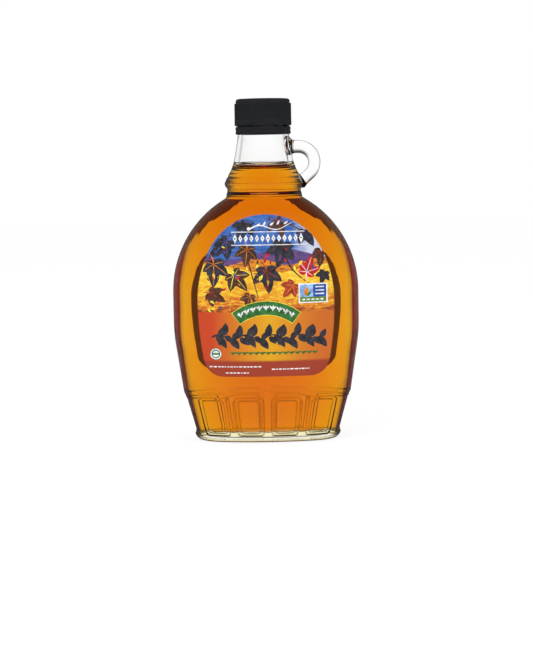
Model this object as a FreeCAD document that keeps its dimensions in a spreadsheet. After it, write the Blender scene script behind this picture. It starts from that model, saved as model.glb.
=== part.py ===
import FreeCAD, Part
import math
import os
import Sketcher

# Flask for maple syrup, in millimetres. +Z is up and the front faces -Y, with the ring handle on the
# +X side of the neck. The origin lies in the middle of the foot, on the surface the flask stands on.

V = FreeCAD.Vector
Y_AXIS = V(0, 1, 0)
Z_AXIS = V(0, 0, 1)
ORIGIN = V(0, 0, 0)

doc = FreeCAD.newDocument("syrup_flask")

# ---------------------------------------------------------------- driving dimensions

SIZES = {
    # flask body: every level is an oval with a shallow front arc and two tight end arcs
    "body_half_width": 49.2,
    "body_half_depth": 25.2,
    "front_radius": 85.0,
    "side_bottom": 62.8,
    "side_top": 78.4,
    "shoulder_radius": 56.8,
    "brow_height": 115.0,
    "brow_radius": 18.3,
    "flank_slope": 0.152,
    "flank_arc": 12.2,
    "flank_drop": 0.92,
    "hip_height": 33.0,
    "belt_height": 26.8,
    "belt_inset": 0.35,
    # foot block below the belt line
    "knuckle_height": 21.6,
    "knuckle_half_width": 43.95,
    "knuckle_half_depth": 24.2,
    "foot_half_width": 37.9,
    "foot_half_depth": 21.2,
    "heel_radius": 2.6,
    "punt_half_width": 30.5,
    "punt_half_depth": 14.5,
    "punt_depth": 1.4,
    "punt_flare": 2.5,
    # ribs standing between the moulded panels, and the deeper pane in each panel
    "rib_height": 0.6,
    "rib_top": 23.9,
    "rib_bottom": 3.0,
    "rib_half_width": 2.1,
    "rib_corner": 2.0,
    "rib_pitch": 19.6,
    "rib_lean": 4.0,
    "corner_rib_x": 38.0,
    "corner_rib_y": 14.0,
    "corner_rib_turn": 44.0,
    "corner_rib_lean": 6.5,
    "pane_depth": 1.15,
    "pane_top": 22.5,
    "pane_bottom": 4.6,
    "pane_margin": 1.9,
    "pane_corner": 1.4,
    "pane_taper": 0.93,
    "corner_pane_edge": 34.1,
    "end_pane_half_width": 11.3,
    # neck, from the collar on the shoulder up to the mouth
    "collar_bottom": 124.0,
    "collar_radius": 20.0,
    "collar_top": 129.6,
    "groove_radius": 19.4,
    "groove_bottom": 131.4,
    "groove_top": 132.6,
    "bead_bottom_radius": 20.1,
    "bead_bottom": 133.6,
    "bead_arc": 2.4,
    "bead_top_radius": 20.45,
    "bead_top": 136.6,
    "funnel_arc": 45.0,
    "funnel_radius": 15.6,
    "funnel_top": 147.4,
    "throat_radius": 13.35,
    "throat_top": 160.4,
    "lock_ring_radius": 13.55,
    "lock_ring_bottom": 162.1,
    "lock_ring_top": 163.1,
    "finish_radius": 13.2,
    "finish_bottom": 163.6,
    "mouth_height": 178.4,
    "step_ring_half_height": 0.55,
    "step_ring_low": 137.9,
    "step_ring_low_radius": 20.0,
    "step_ring_high": 140.2,
    "step_ring_high_radius": 18.8,
    # cavity
    "side_wall": 3.2,
    "front_wall": 3.2,
    "floor_height": 5.2,
    "floor_half_width": 36.6,
    "floor_half_depth": 18.9,
    "floor_fillet": 4.0,
    "low_wall_height": 24.0,
    "low_wall_half_width": 40.9,
    "low_wall_half_depth": 21.2,
    "neck_bore": 17.2,
    "neck_bore_top": 135.6,
    "funnel_bore_arc": 42.0,
    "funnel_bore": 12.4,
    "funnel_bore_top": 149.0,
    "mouth_bore": 10.8,
    "mouth_bore_bottom": 159.0,
    "fill_height": 145.4,
    # ring handle of round glass rod
    "handle_start": 10.95,
    "handle_height": 154.4,
    "handle_bend_x": 18.5,
    "handle_bend_radius": 8.3,
    "handle_tail_angle": 40.0,
    "handle_tail": 8.5,
    "rod_radius": 3.5,
    "rod_tail_radius": 3.05,
    "root_fillet": 1.6,
    # screw closure and its tamper band
    "closure_top": 180.3,
    "closure_bore": 13.45,
    "crown_radius": 14.5,
    "crown_fillet": 0.9,
    "knurl_top": 177.7,
    "knurl_bottom": 168.6,
    "knurl_radius": 15.15,
    "knurl_depth": 0.35,
    "knurl_count": 90,
    "skirt_radius": 15.2,
    "skirt_bottom": 165.7,
    "band_radius": 14.6,
    "band_waist_radius": 14.4,
    "band_bore": 13.8,
    "band_lip": 13.6,
    "band_lip_height": 0.7,
    "band_top": 165.1,
    "band_bottom": 161.1,
    "bridge_width": 0.9,
    "bridge_count": 12,
    # paper labels, the one on the back a little narrower and lower
    "label_thickness": 0.12,
    "label_bottom": 35.3,
    "label_top": 119.6,
    "label_half_width": 35.8,
    "back_label_half_width": 34.6,
    "back_label_top": 112.6,
    "label_waist": 74.0,
    "label_side_arc": 60.0,
    "label_lower_arc": 160.0,
    "label_corner": 8.0,
}

sheet = doc.addObject("Spreadsheet::Sheet", "Sizes")
for row, (alias, number) in enumerate(SIZES.items(), start=1):
    sheet.set(f"A{row}", str(number))
    sheet.setAlias(f"A{row}", alias)
doc.recompute()


def size(name):
    """The number in the sheet's cell of that alias."""
    return float(sheet.get(name))


def cell(name):
    """How an expression names the sheet's cell of that alias."""
    return f"Sizes.{name}"


# ---------------------------------------------------------------- shared building steps

def origin_plane(body, role):
    return next(item for item in body.Origin.OriginFeatures if item.Role == role)


def new_body(name):
    body = doc.addObject("PartDesign::Body", name)
    doc.recompute()
    return body


def new_sketch(body, name, support, map_mode="FlatFace"):
    sketch = body.newObject("Sketcher::SketchObject", name)
    sketch.AttachmentSupport = [support]
    sketch.MapMode = map_mode
    return sketch


def drive(sketch, constraint, expression):
    """Adds a dimension to the sketch and binds it to the sheet."""
    index = sketch.addConstraint(constraint)
    sketch.setExpression(f"Constraints[{index}]", expression)


def feature(kind, name, bound=None, **properties):
    """A document object with plain properties, and with others bound to the sheet."""
    item = doc.addObject(kind, name)
    for prop, value in properties.items():
        setattr(item, prop, value)
    for prop, expression in (bound or {}).items():
        item.setExpression(prop, expression)
    doc.recompute()
    return item


def shaped(name, shape, placement=None):
    """A Part::Feature with a shape of its own, placed afterwards."""
    item = feature("Part::Feature", name, Shape=shape)
    item.Placement = placement or FreeCAD.Placement()
    return item


def quarter_oval(body, name, height, half_width, half_depth, front_radius):
    """A quarter of an oval at one height: a tight arc at the end of the flask, tangent to a shallow arc
    across its face, closed along the X and Y axes. The four sizes are expressions."""
    sketch = new_sketch(body, name, (origin_plane(body, "XY_Plane"), ""))
    sketch.setExpression("AttachmentOffset.Base.z", height)
    width, depth, face = [float(sketch.evalExpression(text))
                          for text in (half_width, half_depth, front_radius)]
    end_radius = (2 * face * depth - width ** 2 - depth ** 2) / (2 * (face - width))
    end_centre = width - end_radius
    face_centre = depth - face
    meeting = math.atan2(-face_centre, end_centre)
    end_arc = Part.ArcOfCircle(Part.Circle(V(end_centre, 0, 0), Z_AXIS, end_radius), 0, meeting)
    face_arc = Part.ArcOfCircle(Part.Circle(V(0, face_centre, 0), Z_AXIS, face), meeting, math.pi / 2)
    sketch.addGeometry([
        end_arc,
        face_arc,
        Part.LineSegment(V(0, depth, 0), ORIGIN),
        Part.LineSegment(ORIGIN, V(width, 0, 0)),
    ], False)
    rule = Sketcher.Constraint
    sketch.addConstraint([
        rule("Tangent", 0, 2, 1, 1),
        rule("Coincident", 1, 2, 2, 1),
        rule("Coincident", 2, 2, -1, 1),
        rule("Coincident", 3, 1, -1, 1),
        rule("Coincident", 3, 2, 0, 1),
        rule("Vertical", 2),
        rule("Horizontal", 3),
        rule("PointOnObject", 0, 3, -1),
        rule("PointOnObject", 1, 3, -2),
    ])
    drive(sketch, rule("DistanceX", -1, 1, 0, 1, width), half_width)
    drive(sketch, rule("DistanceY", -1, 1, 1, 2, depth), half_depth)
    drive(sketch, rule("Radius", 1, face), front_radius)
    return sketch


def oval_body(name, levels, inset_ends="0", inset_face="0", ruled=False):
    """A body lofted through ovals, level by level. Each level is a height, a half width and a half depth,
    all as expressions, drawn in by the two insets. A quarter is lofted and mirrored twice."""
    body = new_body(name)
    sections = []
    for number, (height, half_width, half_depth) in enumerate(levels, start=1):
        sections.append(quarter_oval(
            body, f"{name}_level_{number}", height,
            f"({half_width}) - ({inset_ends})",
            f"({half_depth}) - ({inset_face})",
            f"{cell('front_radius')} - ({inset_face})"))
    loft = body.newObject("PartDesign::AdditiveLoft", f"{name}_loft")
    loft.Profile = sections[0]
    loft.Sections = sections[1:]
    loft.Ruled = ruled
    doc.recompute()
    for side in ("YZ_Plane", "XZ_Plane"):
        mirror = body.newObject("PartDesign::Mirrored", f"{name}_{side[:2].lower()}_half")
        mirror.TransformMode = "Whole shape"
        mirror.MirrorPlane = (origin_plane(body, side), [""])
        body.Tip = mirror
        doc.recompute()
    return body


def round_level_edge(body, name, height, radius):
    """Rounds the edge that runs round an oval body at one height."""
    base = body.Tip
    edges = []
    for number, edge in enumerate(base.Shape.Edges, start=1):
        box = edge.BoundBox
        level = abs(box.ZMin - height) < 1e-4 and abs(box.ZMax - height) < 1e-4
        middle = edge.valueAt((edge.FirstParameter + edge.LastParameter) / 2)
        if level and abs(middle.x) > 1e-3 and abs(middle.y) > 1e-3:
            edges.append(f"Edge{number}")
    fillet = body.newObject("PartDesign::Fillet", name)
    fillet.Base = (base, edges)
    fillet.setExpression("Radius", radius)
    body.Tip = fillet
    doc.recompute()


def bulged(start, end, radius, outward):
    """An arc of a given radius between two corners of a turned outline, bulging away from the axis or
    hollow towards it."""
    chord = end - start
    middle = (start + end) / 2
    sagitta = radius - math.sqrt(radius ** 2 - (chord.Length / 2) ** 2)
    across = V(chord.y, -chord.x, 0).normalize()
    if (across.x > 0) != outward:
        across = -across
    return Part.Arc(start, middle + across * sagitta, end)


def turned_body(name, outline):
    """A body turned about the Z axis. The outline's corners are (radius, height), as expressions. A third
    entry, a sheet's size, makes the edge up to that corner an arc of that radius: bulging, or hollow
    where the size has a minus sign before it."""
    body = new_body(name)
    sketch = new_sketch(body, f"{name}_outline", (origin_plane(body, "XZ_Plane"), ""))
    rule = Sketcher.Constraint
    corners = [V(float(sketch.evalExpression(corner[0])), float(sketch.evalExpression(corner[1])), 0)
               for corner in outline]
    ends = []
    for number, start in enumerate(corners):
        following = (number + 1) % len(corners)
        end = corners[following]
        if len(outline[following]) == 3:
            bend = outline[following][2]
            radius = float(sketch.evalExpression(bend.lstrip("-")))
            edge = sketch.addGeometry(bulged(start, end, radius, not bend.startswith("-")), False)
            turned_round = sketch.getPoint(edge, 1).distanceToPoint(start) > 1e-6
            ends.append((2, 1) if turned_round else (1, 2))
            drive(sketch, rule("Radius", edge, radius), bend.lstrip("-"))
        else:
            sketch.addGeometry(Part.LineSegment(start, end), False)
            ends.append((1, 2))
    for number, corner in enumerate(corners):
        following = (number + 1) % len(corners)
        sketch.addConstraint(rule("Coincident", number, ends[number][1], following, ends[following][0]))
        first = ends[number][0]
        if corner.x == 0:
            sketch.addConstraint(rule("PointOnObject", number, first, -2))
        else:
            drive(sketch, rule("DistanceX", -1, 1, number, first, corner.x), outline[number][0])
        drive(sketch, rule("DistanceY", -1, 1, number, first, corner.y), outline[number][1])
    turning = body.newObject("PartDesign::Revolution", f"{name}_turning")
    turning.Profile = sketch
    turning.ReferenceAxis = (sketch, ["V_Axis"])
    turning.Angle = 360
    body.Tip = turning
    doc.recompute()
    return body


# ---------------------------------------------------------------- levels of the flask

def shoulder_levels(angles):
    """Levels up the big shoulder arc, each at an angle of that arc above the widest part. The depth is
    constant up to the brow and then rolls in to the collar."""
    levels = []
    brow = cell("brow_radius")
    for angle in angles:
        height = f"{cell('side_top')} + {cell('shoulder_radius')} * sin({angle} deg)"
        half_width = f"{cell('body_half_width')} - {cell('shoulder_radius')} * (1 - cos({angle} deg))"
        rise = f"max(0; {height} - {cell('brow_height')})"
        half_depth = f"{cell('body_half_depth')} - {brow} + sqrt({brow}^2 - ({rise})^2)"
        levels.append((height, half_width, half_depth))
    return levels


def flank_levels():
    """Levels from the belt up to the widest part: a straight taper, then a short arc into the sides."""
    wide = cell("body_half_width")
    deep = cell("body_half_depth")
    drop = cell("flank_drop")
    taper_top = f"({cell('side_bottom')} - {cell('flank_arc')})"

    def tapered(height):
        return f"{wide} - {drop} - {cell('flank_slope')} * ({taper_top} - {height})"

    middle = f"({cell('hip_height')} + {taper_top}) / 2"
    return [
        (cell("belt_height"), tapered(cell("belt_height")), f"{deep} - {cell('belt_inset')}"),
        (cell("hip_height"), tapered(cell("hip_height")), deep),
        (middle, tapered(middle), deep),
        (taper_top, f"{wide} - {drop}", deep),
        (f"{cell('side_bottom')} - {cell('flank_arc')} / 2", f"{wide} - {drop} / 4", deep),
        (cell("side_bottom"), wide, deep),
        (f"({cell('side_bottom')} + {cell('side_top')}) / 2", wide, deep),
    ]


UPPER_LEVELS = flank_levels() + shoulder_levels((0, 10, 20, 30, 40, 48, 54, 60.4))

def heel_levels(angles):
    """Levels round the heel, each at an angle of its quarter circle up from the flat under the foot."""
    radius = cell("heel_radius")
    levels = []
    for angle in angles:
        inset = f"{radius} * (1 - sin({angle} deg))"
        height = f"{radius} * (1 - cos({angle} deg))"
        levels.append((height, f"{cell('foot_half_width')} - {inset}", f"{cell('foot_half_depth')} - {inset}"))
    return levels


FOOT_LEVELS = heel_levels((0, 20, 40, 60, 80)) + [
    (cell("knuckle_height"), cell("knuckle_half_width"), cell("knuckle_half_depth")),
    UPPER_LEVELS[0],
]


def panel_levels():
    """Levels of the foot behind its ribs: set in by the rib height up to the top of the panels, and from
    there sloping out to meet the flank at the belt line."""
    inset = cell("rib_height")
    levels = [(height, f"{half_width} - {inset}", f"{half_depth} - {inset}")
              for height, half_width, half_depth in FOOT_LEVELS[:-1]]
    height, half_width, half_depth = UPPER_LEVELS[0]
    rise = f"({cell('rib_top')} - {cell('knuckle_height')}) / ({height} - {cell('knuckle_height')})"
    levels.append((
        cell("rib_top"),
        f"{cell('knuckle_half_width')} + {rise} * ({half_width} - {cell('knuckle_half_width')}) - {inset}",
        f"{cell('knuckle_half_depth')} + {rise} * ({half_depth} - {cell('knuckle_half_depth')}) - {inset}"))
    levels.append(UPPER_LEVELS[0])
    return levels


# ---------------------------------------------------------------- foot of the glass

def rib_blank():
    """A rib's outline seen from outside, about X = 0: round at its foot, straight, and flared at its top
    into the rounded corners of the panels beside it. It is a slab through the wall, along Y."""
    half = size("rib_half_width")
    corner = size("rib_corner")
    foot = size("rib_bottom")
    top = size("rib_top")
    bend = corner * (1 - math.sqrt(0.5))
    flare = half + corner
    above = size("belt_height")
    edges = [
        Part.Arc(V(-half, 0, foot + half), V(0, 0, foot), V(half, 0, foot + half)),
        Part.LineSegment(V(half, 0, foot + half), V(half, 0, top - corner)),
        Part.Arc(V(half, 0, top - corner), V(half + bend, 0, top - bend), V(flare, 0, top)),
        Part.LineSegment(V(flare, 0, top), V(flare, 0, above)),
        Part.LineSegment(V(flare, 0, above), V(-flare, 0, above)),
        Part.LineSegment(V(-flare, 0, above), V(-flare, 0, top)),
        Part.Arc(V(-flare, 0, top), V(-half - bend, 0, top - bend), V(-half, 0, top - corner)),
        Part.LineSegment(V(-half, 0, top - corner), V(-half, 0, foot + half)),
    ]
    slab = size("corner_rib_y")
    face = Part.Face(Part.Wire([edge.toShape() for edge in edges]))
    face.translate(V(0, slab / 2, 0))
    return face.extrude(V(0, -slab, 0))


def rib_places():
    """Where the ribs stand at their top, how far each turns about Z from facing -Y, and how far it leans."""
    front = -size("knuckle_half_depth")
    pitch = size("rib_pitch")
    lean = size("rib_lean")
    half_turn = [(0, front, 0, 0)]
    for side in (-1, 1):
        face_radius = size("front_radius")
        set_back = face_radius - math.sqrt(face_radius ** 2 - pitch ** 2)
        half_turn.append((side * pitch, front + set_back, 0, side * lean))
        half_turn.append((side * size("corner_rib_x"), -size("corner_rib_y"),
                          side * size("corner_rib_turn"), side * size("corner_rib_lean")))
    back = [(-x, -y, turn + 180, lean_angle) for x, y, turn, lean_angle in half_turn]
    return half_turn + back


def make_ribs(shell):
    """The ribs, cut to the outer skin of the foot."""
    blank = rib_blank()
    top = V(0, 0, size("rib_top"))
    blanks = []
    for number, (x, y, turn, lean) in enumerate(rib_places(), start=1):
        turned = FreeCAD.Rotation(Z_AXIS, turn).multiply(FreeCAD.Rotation(Y_AXIS, lean))
        placement = FreeCAD.Placement(V(x, y, 0), turned, top)
        blanks.append(shaped(f"rib_blank_{number}", blank, placement))
    blanks_joined = feature("Part::MultiFuse", "rib_blanks", Shapes=blanks)
    return feature("Part::Common", "ribs", Base=shell, Tool=blanks_joined)


def pane_blank(left, right):
    """A pane's outline between two X places at its top, drawn together towards its foot, with rounded
    corners, as a slab reaching from the middle of the foot out past the front."""
    top = size("pane_top")
    bottom = size("pane_bottom")
    taper = size("pane_taper")
    reach = size("body_half_width")
    corners = [V(left, 0, top), V(right, 0, top), V(right * taper, 0, bottom), V(left * taper, 0, bottom)]
    slab = Part.Face(Part.makePolygon(corners + corners[:1])).extrude(V(0, -reach, 0))
    along = [edge for edge in slab.Edges if abs(edge.BoundBox.YLength - reach) < 1e-3]
    return slab.makeFillet(size("pane_corner"), along)


def make_panes(floor):
    """The deeper pane in every panel: what lies between each outline and the floor of the panes."""
    inner = size("rib_half_width") + size("pane_margin")
    pitch = size("rib_pitch")
    end = size("end_pane_half_width")
    spans = [
        (inner, pitch - inner),
        (pitch + inner, size("corner_pane_edge")),
        (-pitch + inner, -inner),
        (-size("corner_pane_edge"), -pitch - inner),
    ]
    tools = []
    for turn in (0, 180):
        for left, right in spans:
            tools.append((pane_blank(left, right), turn))
        tools.append((pane_blank(-end, end), turn + 90))
    blanks = [shaped(f"pane_blank_{number}", blank, FreeCAD.Placement(ORIGIN, FreeCAD.Rotation(Z_AXIS, turn)))
              for number, (blank, turn) in enumerate(tools, start=1)]
    blanks_joined = feature("Part::MultiFuse", "pane_blanks", Shapes=blanks)
    return feature("Part::Cut", "panes", Base=blanks_joined, Tool=floor)


def make_foot():
    """The foot block: a core with its brow sloping out to the belt line, and the ribs between its panels."""
    shell = oval_body("foot_shell", FOOT_LEVELS, ruled=True)
    core = oval_body("foot_core", panel_levels(), ruled=True)
    return feature("Part::MultiFuse", "foot_with_ribs", Shapes=[core, make_ribs(shell)])


# ---------------------------------------------------------------- neck and handle of the glass

def make_neck():
    """The collar, groove, bead, funnel, throat and finish, turned in one, with the two step rings."""
    neck = turned_body("neck", [
        ("0", cell("collar_bottom")),
        (cell("collar_radius"), cell("collar_bottom")),
        (cell("collar_radius"), cell("collar_top")),
        (cell("groove_radius"), cell("groove_bottom")),
        (cell("groove_radius"), cell("groove_top")),
        (cell("bead_bottom_radius"), cell("bead_bottom")),
        (cell("bead_top_radius"), cell("bead_top"), cell("bead_arc")),
        (cell("funnel_radius"), cell("funnel_top"), "-" + cell("funnel_arc")),
        (cell("throat_radius"), cell("throat_top")),
        (cell("lock_ring_radius"), cell("lock_ring_bottom")),
        (cell("lock_ring_radius"), cell("lock_ring_top")),
        (cell("finish_radius"), cell("finish_bottom")),
        (cell("finish_radius"), cell("mouth_height")),
        ("0", cell("mouth_height")),
    ])
    half_height = cell("step_ring_half_height")
    inside = cell("neck_bore")
    rings = []
    for level in ("step_ring_low", "step_ring_high"):
        rings.append(turned_body(level, [
            (inside, f"{cell(level)} - 2 * {half_height}"),
            (cell(f"{level}_radius"), f"{cell(level)} - {half_height}"),
            (cell(f"{level}_radius"), cell(level)),
            (inside, f"{cell(level)} + 4 * {half_height}"),
        ]))
    return [neck] + rings


def make_handle():
    """The ring handle: round glass rod swept out of the throat, round a bend and back down into the bead,
    a little thinner at its tail."""
    body = new_body("handle")
    path = new_sketch(body, "handle_path", (origin_plane(body, "XZ_Plane"), ""))
    start_x, height, bend_x, bend, tail_angle, tail = [
        size(name) for name in ("handle_start", "handle_height", "handle_bend_x", "handle_bend_radius",
                                "handle_tail_angle", "handle_tail")]
    centre = V(bend_x, height - bend, 0)
    last = math.radians(tail_angle - 90)
    bend_end = centre + V(math.cos(last), math.sin(last), 0) * bend
    tail_end = bend_end + V(math.sin(last), -math.cos(last), 0) * tail
    arc = Part.ArcOfCircle(Part.Circle(centre, Z_AXIS, bend), last, math.pi / 2)
    path.addGeometry([Part.LineSegment(V(start_x, height, 0), V(bend_x, height, 0)), arc,
                      Part.LineSegment(bend_end, tail_end)], False)
    rule = Sketcher.Constraint
    path.addConstraint([rule("Horizontal", 0), rule("Tangent", 0, 2, 1, 2), rule("Tangent", 1, 1, 2, 1)])
    drive(path, rule("DistanceX", -1, 1, 0, 1, start_x), cell("handle_start"))
    drive(path, rule("DistanceY", -1, 1, 0, 1, height), cell("handle_height"))
    drive(path, rule("DistanceX", -1, 1, 1, 3, bend_x), cell("handle_bend_x"))
    drive(path, rule("Radius", 1, bend), cell("handle_bend_radius"))
    drive(path, rule("Distance", 2, tail), cell("handle_tail"))
    drive(path, rule("Angle", 2, math.radians(tail_angle - 180)), f"{cell('handle_tail_angle')} * 1 deg - 180 deg")
    doc.recompute()
    rings = []
    for name, edge, place, radius in (("handle_root", "Edge1", 0, "rod_radius"),
                                      ("handle_tip", "Edge3", 1, "rod_tail_radius")):
        ring = new_sketch(body, name, (path, edge), "NormalToEdge")
        ring.MapPathParameter = place
        ring.addGeometry(Part.Circle(ORIGIN, Z_AXIS, size(radius)), False)
        ring.addConstraint(rule("Coincident", 0, 3, -1, 1))
        drive(ring, rule("Radius", 0, size(radius)), cell(radius))
        rings.append(ring)
    doc.recompute()
    rod = body.newObject("PartDesign::AdditivePipe", "handle_rod")
    rod.Profile = rings[0]
    rod.Spine = (path, ["Edge1", "Edge2", "Edge3"])
    rod.Transformation = "Multisection"
    rod.Sections = [rings[1]]
    body.Tip = rod
    doc.recompute()
    return body


# ---------------------------------------------------------------- cavity, glass and syrup

def make_cavity():
    """The inside of the flask, from its rounded floor up through the mouth."""
    side = cell("side_wall")
    face = cell("front_wall")
    levels = [
        (cell("floor_height"), f"{cell('floor_half_width')} + {side}", f"{cell('floor_half_depth')} + {face}"),
        (cell("low_wall_height"), f"{cell('low_wall_half_width')} + {side}",
         f"{cell('low_wall_half_depth')} + {face}"),
    ] + UPPER_LEVELS[2:]
    belly = oval_body("cavity_belly", levels, side, face)
    round_level_edge(belly, "cavity_floor", size("floor_height"), cell("floor_fillet"))
    throat = turned_body("cavity_throat", [
        ("0", cell("collar_bottom")),
        (cell("neck_bore"), cell("collar_bottom")),
        (cell("neck_bore"), cell("neck_bore_top")),
        (cell("funnel_bore"), cell("funnel_bore_top"), "-" + cell("funnel_bore_arc")),
        (cell("mouth_bore"), cell("mouth_bore_bottom")),
        (cell("mouth_bore"), cell("closure_top")),
        ("0", cell("closure_top")),
    ])
    return feature("Part::MultiFuse", "cavity", Shapes=[belly, throat])


def make_glass(cavity):
    """The whole flask in one piece of glass: foot, body, neck and ring handle, hollow inside."""
    upper = oval_body("upper_flask", UPPER_LEVELS)
    outside = feature("Part::MultiFuse", "outside", Shapes=[make_foot(), upper, make_handle()] + make_neck())
    pane_floor = oval_body("pane_floor", FOOT_LEVELS, cell("pane_depth"), cell("pane_depth"), ruled=True)
    panelled = feature("Part::Cut", "panelled", Base=outside, Tool=make_panes(pane_floor))
    wide = cell("punt_half_width")
    deep = cell("punt_half_depth")
    flare = cell("punt_flare")
    punt = oval_body("punt", [(f"0 - {cell('punt_depth')}", f"{wide} + {flare}", f"{deep} + {flare}"),
                              (cell("punt_depth"), f"{wide} - {flare}", f"{deep} - {flare}")], ruled=True)
    punted = feature("Part::Cut", "punted", Base=panelled, Tool=punt)
    hollow = feature("Part::Cut", "hollow", Base=punted, Tool=cavity)
    return hollow, upper


def make_syrup(cavity):
    """The syrup: the cavity up to its level in the neck."""
    reach = cell("body_half_width")
    below_level = feature(
        "Part::Box", "below_level",
        bound={"Length": f"2 * {reach}", "Width": f"2 * {reach}", "Height": cell("fill_height"),
               "Placement.Base.x": f"-{reach}", "Placement.Base.y": f"-{reach}"})
    return feature("Part::Common", "syrup", Base=cavity, Tool=below_level)


# ---------------------------------------------------------------- closure

def knurled_ring():
    """The knurled part of the skirt: a ring with an even row of teeth round its outside."""
    count = int(size("knurl_count"))
    crest = size("knurl_radius")
    valley = crest - size("knurl_depth")
    height = size("knurl_top") - size("knurl_bottom")
    teeth = []
    for number in range(2 * count):
        radius = crest if number % 2 else valley
        angle = math.pi * number / count
        teeth.append(V(radius * math.cos(angle), radius * math.sin(angle), size("knurl_bottom")))
    outline = Part.Face(Part.makePolygon(teeth + teeth[:1]))
    inside = Part.makeCylinder(size("closure_bore"), height, V(0, 0, size("knurl_bottom")))
    return outline.extrude(V(0, 0, height)).cut(inside)


def make_bridges():
    """The thin bridges that still join the tamper band to the skirt, evenly round the gap."""
    count = int(size("bridge_count"))
    width = size("bridge_width")
    inner = size("band_bore")
    outer = size("band_waist_radius")
    overlap = 0.2
    bottom = size("band_top") - overlap
    height = size("skirt_bottom") + overlap - bottom
    bridges = []
    for number in range(count):
        box = Part.makeBox(outer - inner, width, height, V(inner, -width / 2, bottom))
        box.rotate(ORIGIN, Z_AXIS, 360 * (number + 0.5) / count)
        bridges.append(box)
    return Part.Compound(bridges)


def make_closure():
    """The screw closure in one moulding: crown, knurled skirt, bridges and tamper band."""
    shell = turned_body("closure_shell", [
        ("0", cell("mouth_height")),
        (cell("closure_bore"), cell("mouth_height")),
        (cell("closure_bore"), cell("skirt_bottom")),
        (cell("skirt_radius"), cell("skirt_bottom")),
        (cell("skirt_radius"), cell("knurl_bottom")),
        (f"{cell('crown_radius')} - {cell('knurl_depth')}", cell("knurl_bottom")),
        (f"{cell('crown_radius')} - {cell('knurl_depth')}", cell("knurl_top")),
        (cell("crown_radius"), cell("knurl_top")),
        (cell("crown_radius"), cell("closure_top")),
        ("0", cell("closure_top")),
    ])
    rim = [f"Edge{number}" for number, edge in enumerate(shell.Shape.Edges, start=1)
           if abs(edge.BoundBox.ZMin - size("closure_top")) < 1e-6 and edge.Closed]
    base = shell.Tip
    crown = shell.newObject("PartDesign::Fillet", "crown_edge")
    crown.Base = (base, rim)
    crown.setExpression("Radius", cell("crown_fillet"))
    shell.Tip = crown
    doc.recompute()
    band_middle = f"({cell('band_bottom')} + {cell('band_top')}) / 2"
    band = turned_body("tamper_band", [
        (cell("band_lip"), cell("band_bottom")),
        (cell("band_waist_radius"), cell("band_bottom")),
        (cell("band_radius"), f"({cell('band_bottom')} + {band_middle}) / 2"),
        (cell("band_waist_radius"), band_middle),
        (cell("band_radius"), f"({cell('band_top')} + {band_middle}) / 2"),
        (cell("band_waist_radius"), cell("band_top")),
        (cell("band_bore"), cell("band_top")),
        (cell("band_bore"), f"{cell('band_bottom')} + {cell('band_lip_height')}"),
    ])
    pieces = [shell, shaped("knurls", knurled_ring()), shaped("bridges", make_bridges()), band]
    return feature("Part::MultiFuse", "closure", Shapes=pieces)


# ---------------------------------------------------------------- labels

def label_slab(facing, half, top):
    """The label's outline, arched at the top with drawn-in sides and round lower corners, as a slab from
    the middle of the flask out past the face it is stuck to."""
    waist = size("label_waist")
    bottom = size("label_bottom")
    side = size("label_side_arc")
    lower = size("label_lower_arc")
    # the arch's top arc has its centre on the middle line and meets both side arcs at a tangent
    offset = side - half
    crown = (side ** 2 - offset ** 2 - (top - waist) ** 2) / (2 * (side - (top - waist)))
    crown_centre = V(0, 0, top - crown)
    side_centre = V(half - side, 0, waist)
    meeting = side_centre + (crown_centre - side_centre).normalize() * side
    lower_centre = V(half - lower, 0, waist)
    foot_x = lower_centre.x + math.sqrt(lower ** 2 - (waist - bottom) ** 2)

    def on_arc(centre, radius, start, end):
        return centre + ((start + end) / 2 - centre).normalize() * radius

    def mirrored(place):
        return V(-place.x, place.y, place.z)

    widest = V(half, 0, waist)
    foot = V(foot_x, 0, bottom)
    upper_middle = on_arc(side_centre, side, meeting, widest)
    lower_middle = on_arc(lower_centre, lower, widest, foot)
    edges = [
        Part.Arc(mirrored(meeting), V(0, 0, top), meeting),
        Part.Arc(meeting, upper_middle, widest),
        Part.Arc(widest, lower_middle, foot),
        Part.LineSegment(foot, mirrored(foot)),
        Part.Arc(mirrored(foot), mirrored(lower_middle), mirrored(widest)),
        Part.Arc(mirrored(widest), mirrored(upper_middle), mirrored(meeting)),
    ]
    reach = facing * size("body_half_width")
    slab = Part.Face(Part.Wire([edge.toShape() for edge in edges])).extrude(V(0, reach, 0))
    corners = [edge for edge in slab.Edges
               if abs(edge.BoundBox.YLength - abs(reach)) < 1e-3 and abs(edge.BoundBox.ZMax - bottom) < 1e-3]
    return slab.makeFillet(size("label_corner"), corners)


def make_label(name, facing, half_width, top, skin, flask):
    """A paper label lying on the flask: its outline through a skin one paper thick."""
    blank = shaped(f"{name}_blank", label_slab(facing, size(half_width), size(top)))
    wrap = feature("Part::Common", f"{name}_wrap", Base=skin, Tool=blank)
    return feature("Part::Cut", name, Base=wrap, Tool=flask)


# ---------------------------------------------------------------- the whole flask

def round_handle_roots(glass):
    """Blends the handle's rod into the throat where it leaves it."""
    start = size("funnel_radius")
    edges = []
    for number, edge in enumerate(glass.Shape.Edges, start=1):
        box = edge.BoundBox
        if box.XMin > 11 and box.XMax < start + 3 and box.ZMin > 149 and box.ZMax < 159 and box.YLength > 1:
            edges.append((number, size("root_fillet"), size("root_fillet")))
    return feature("Part::Fillet", "glass", Base=glass, Edges=edges)


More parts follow.
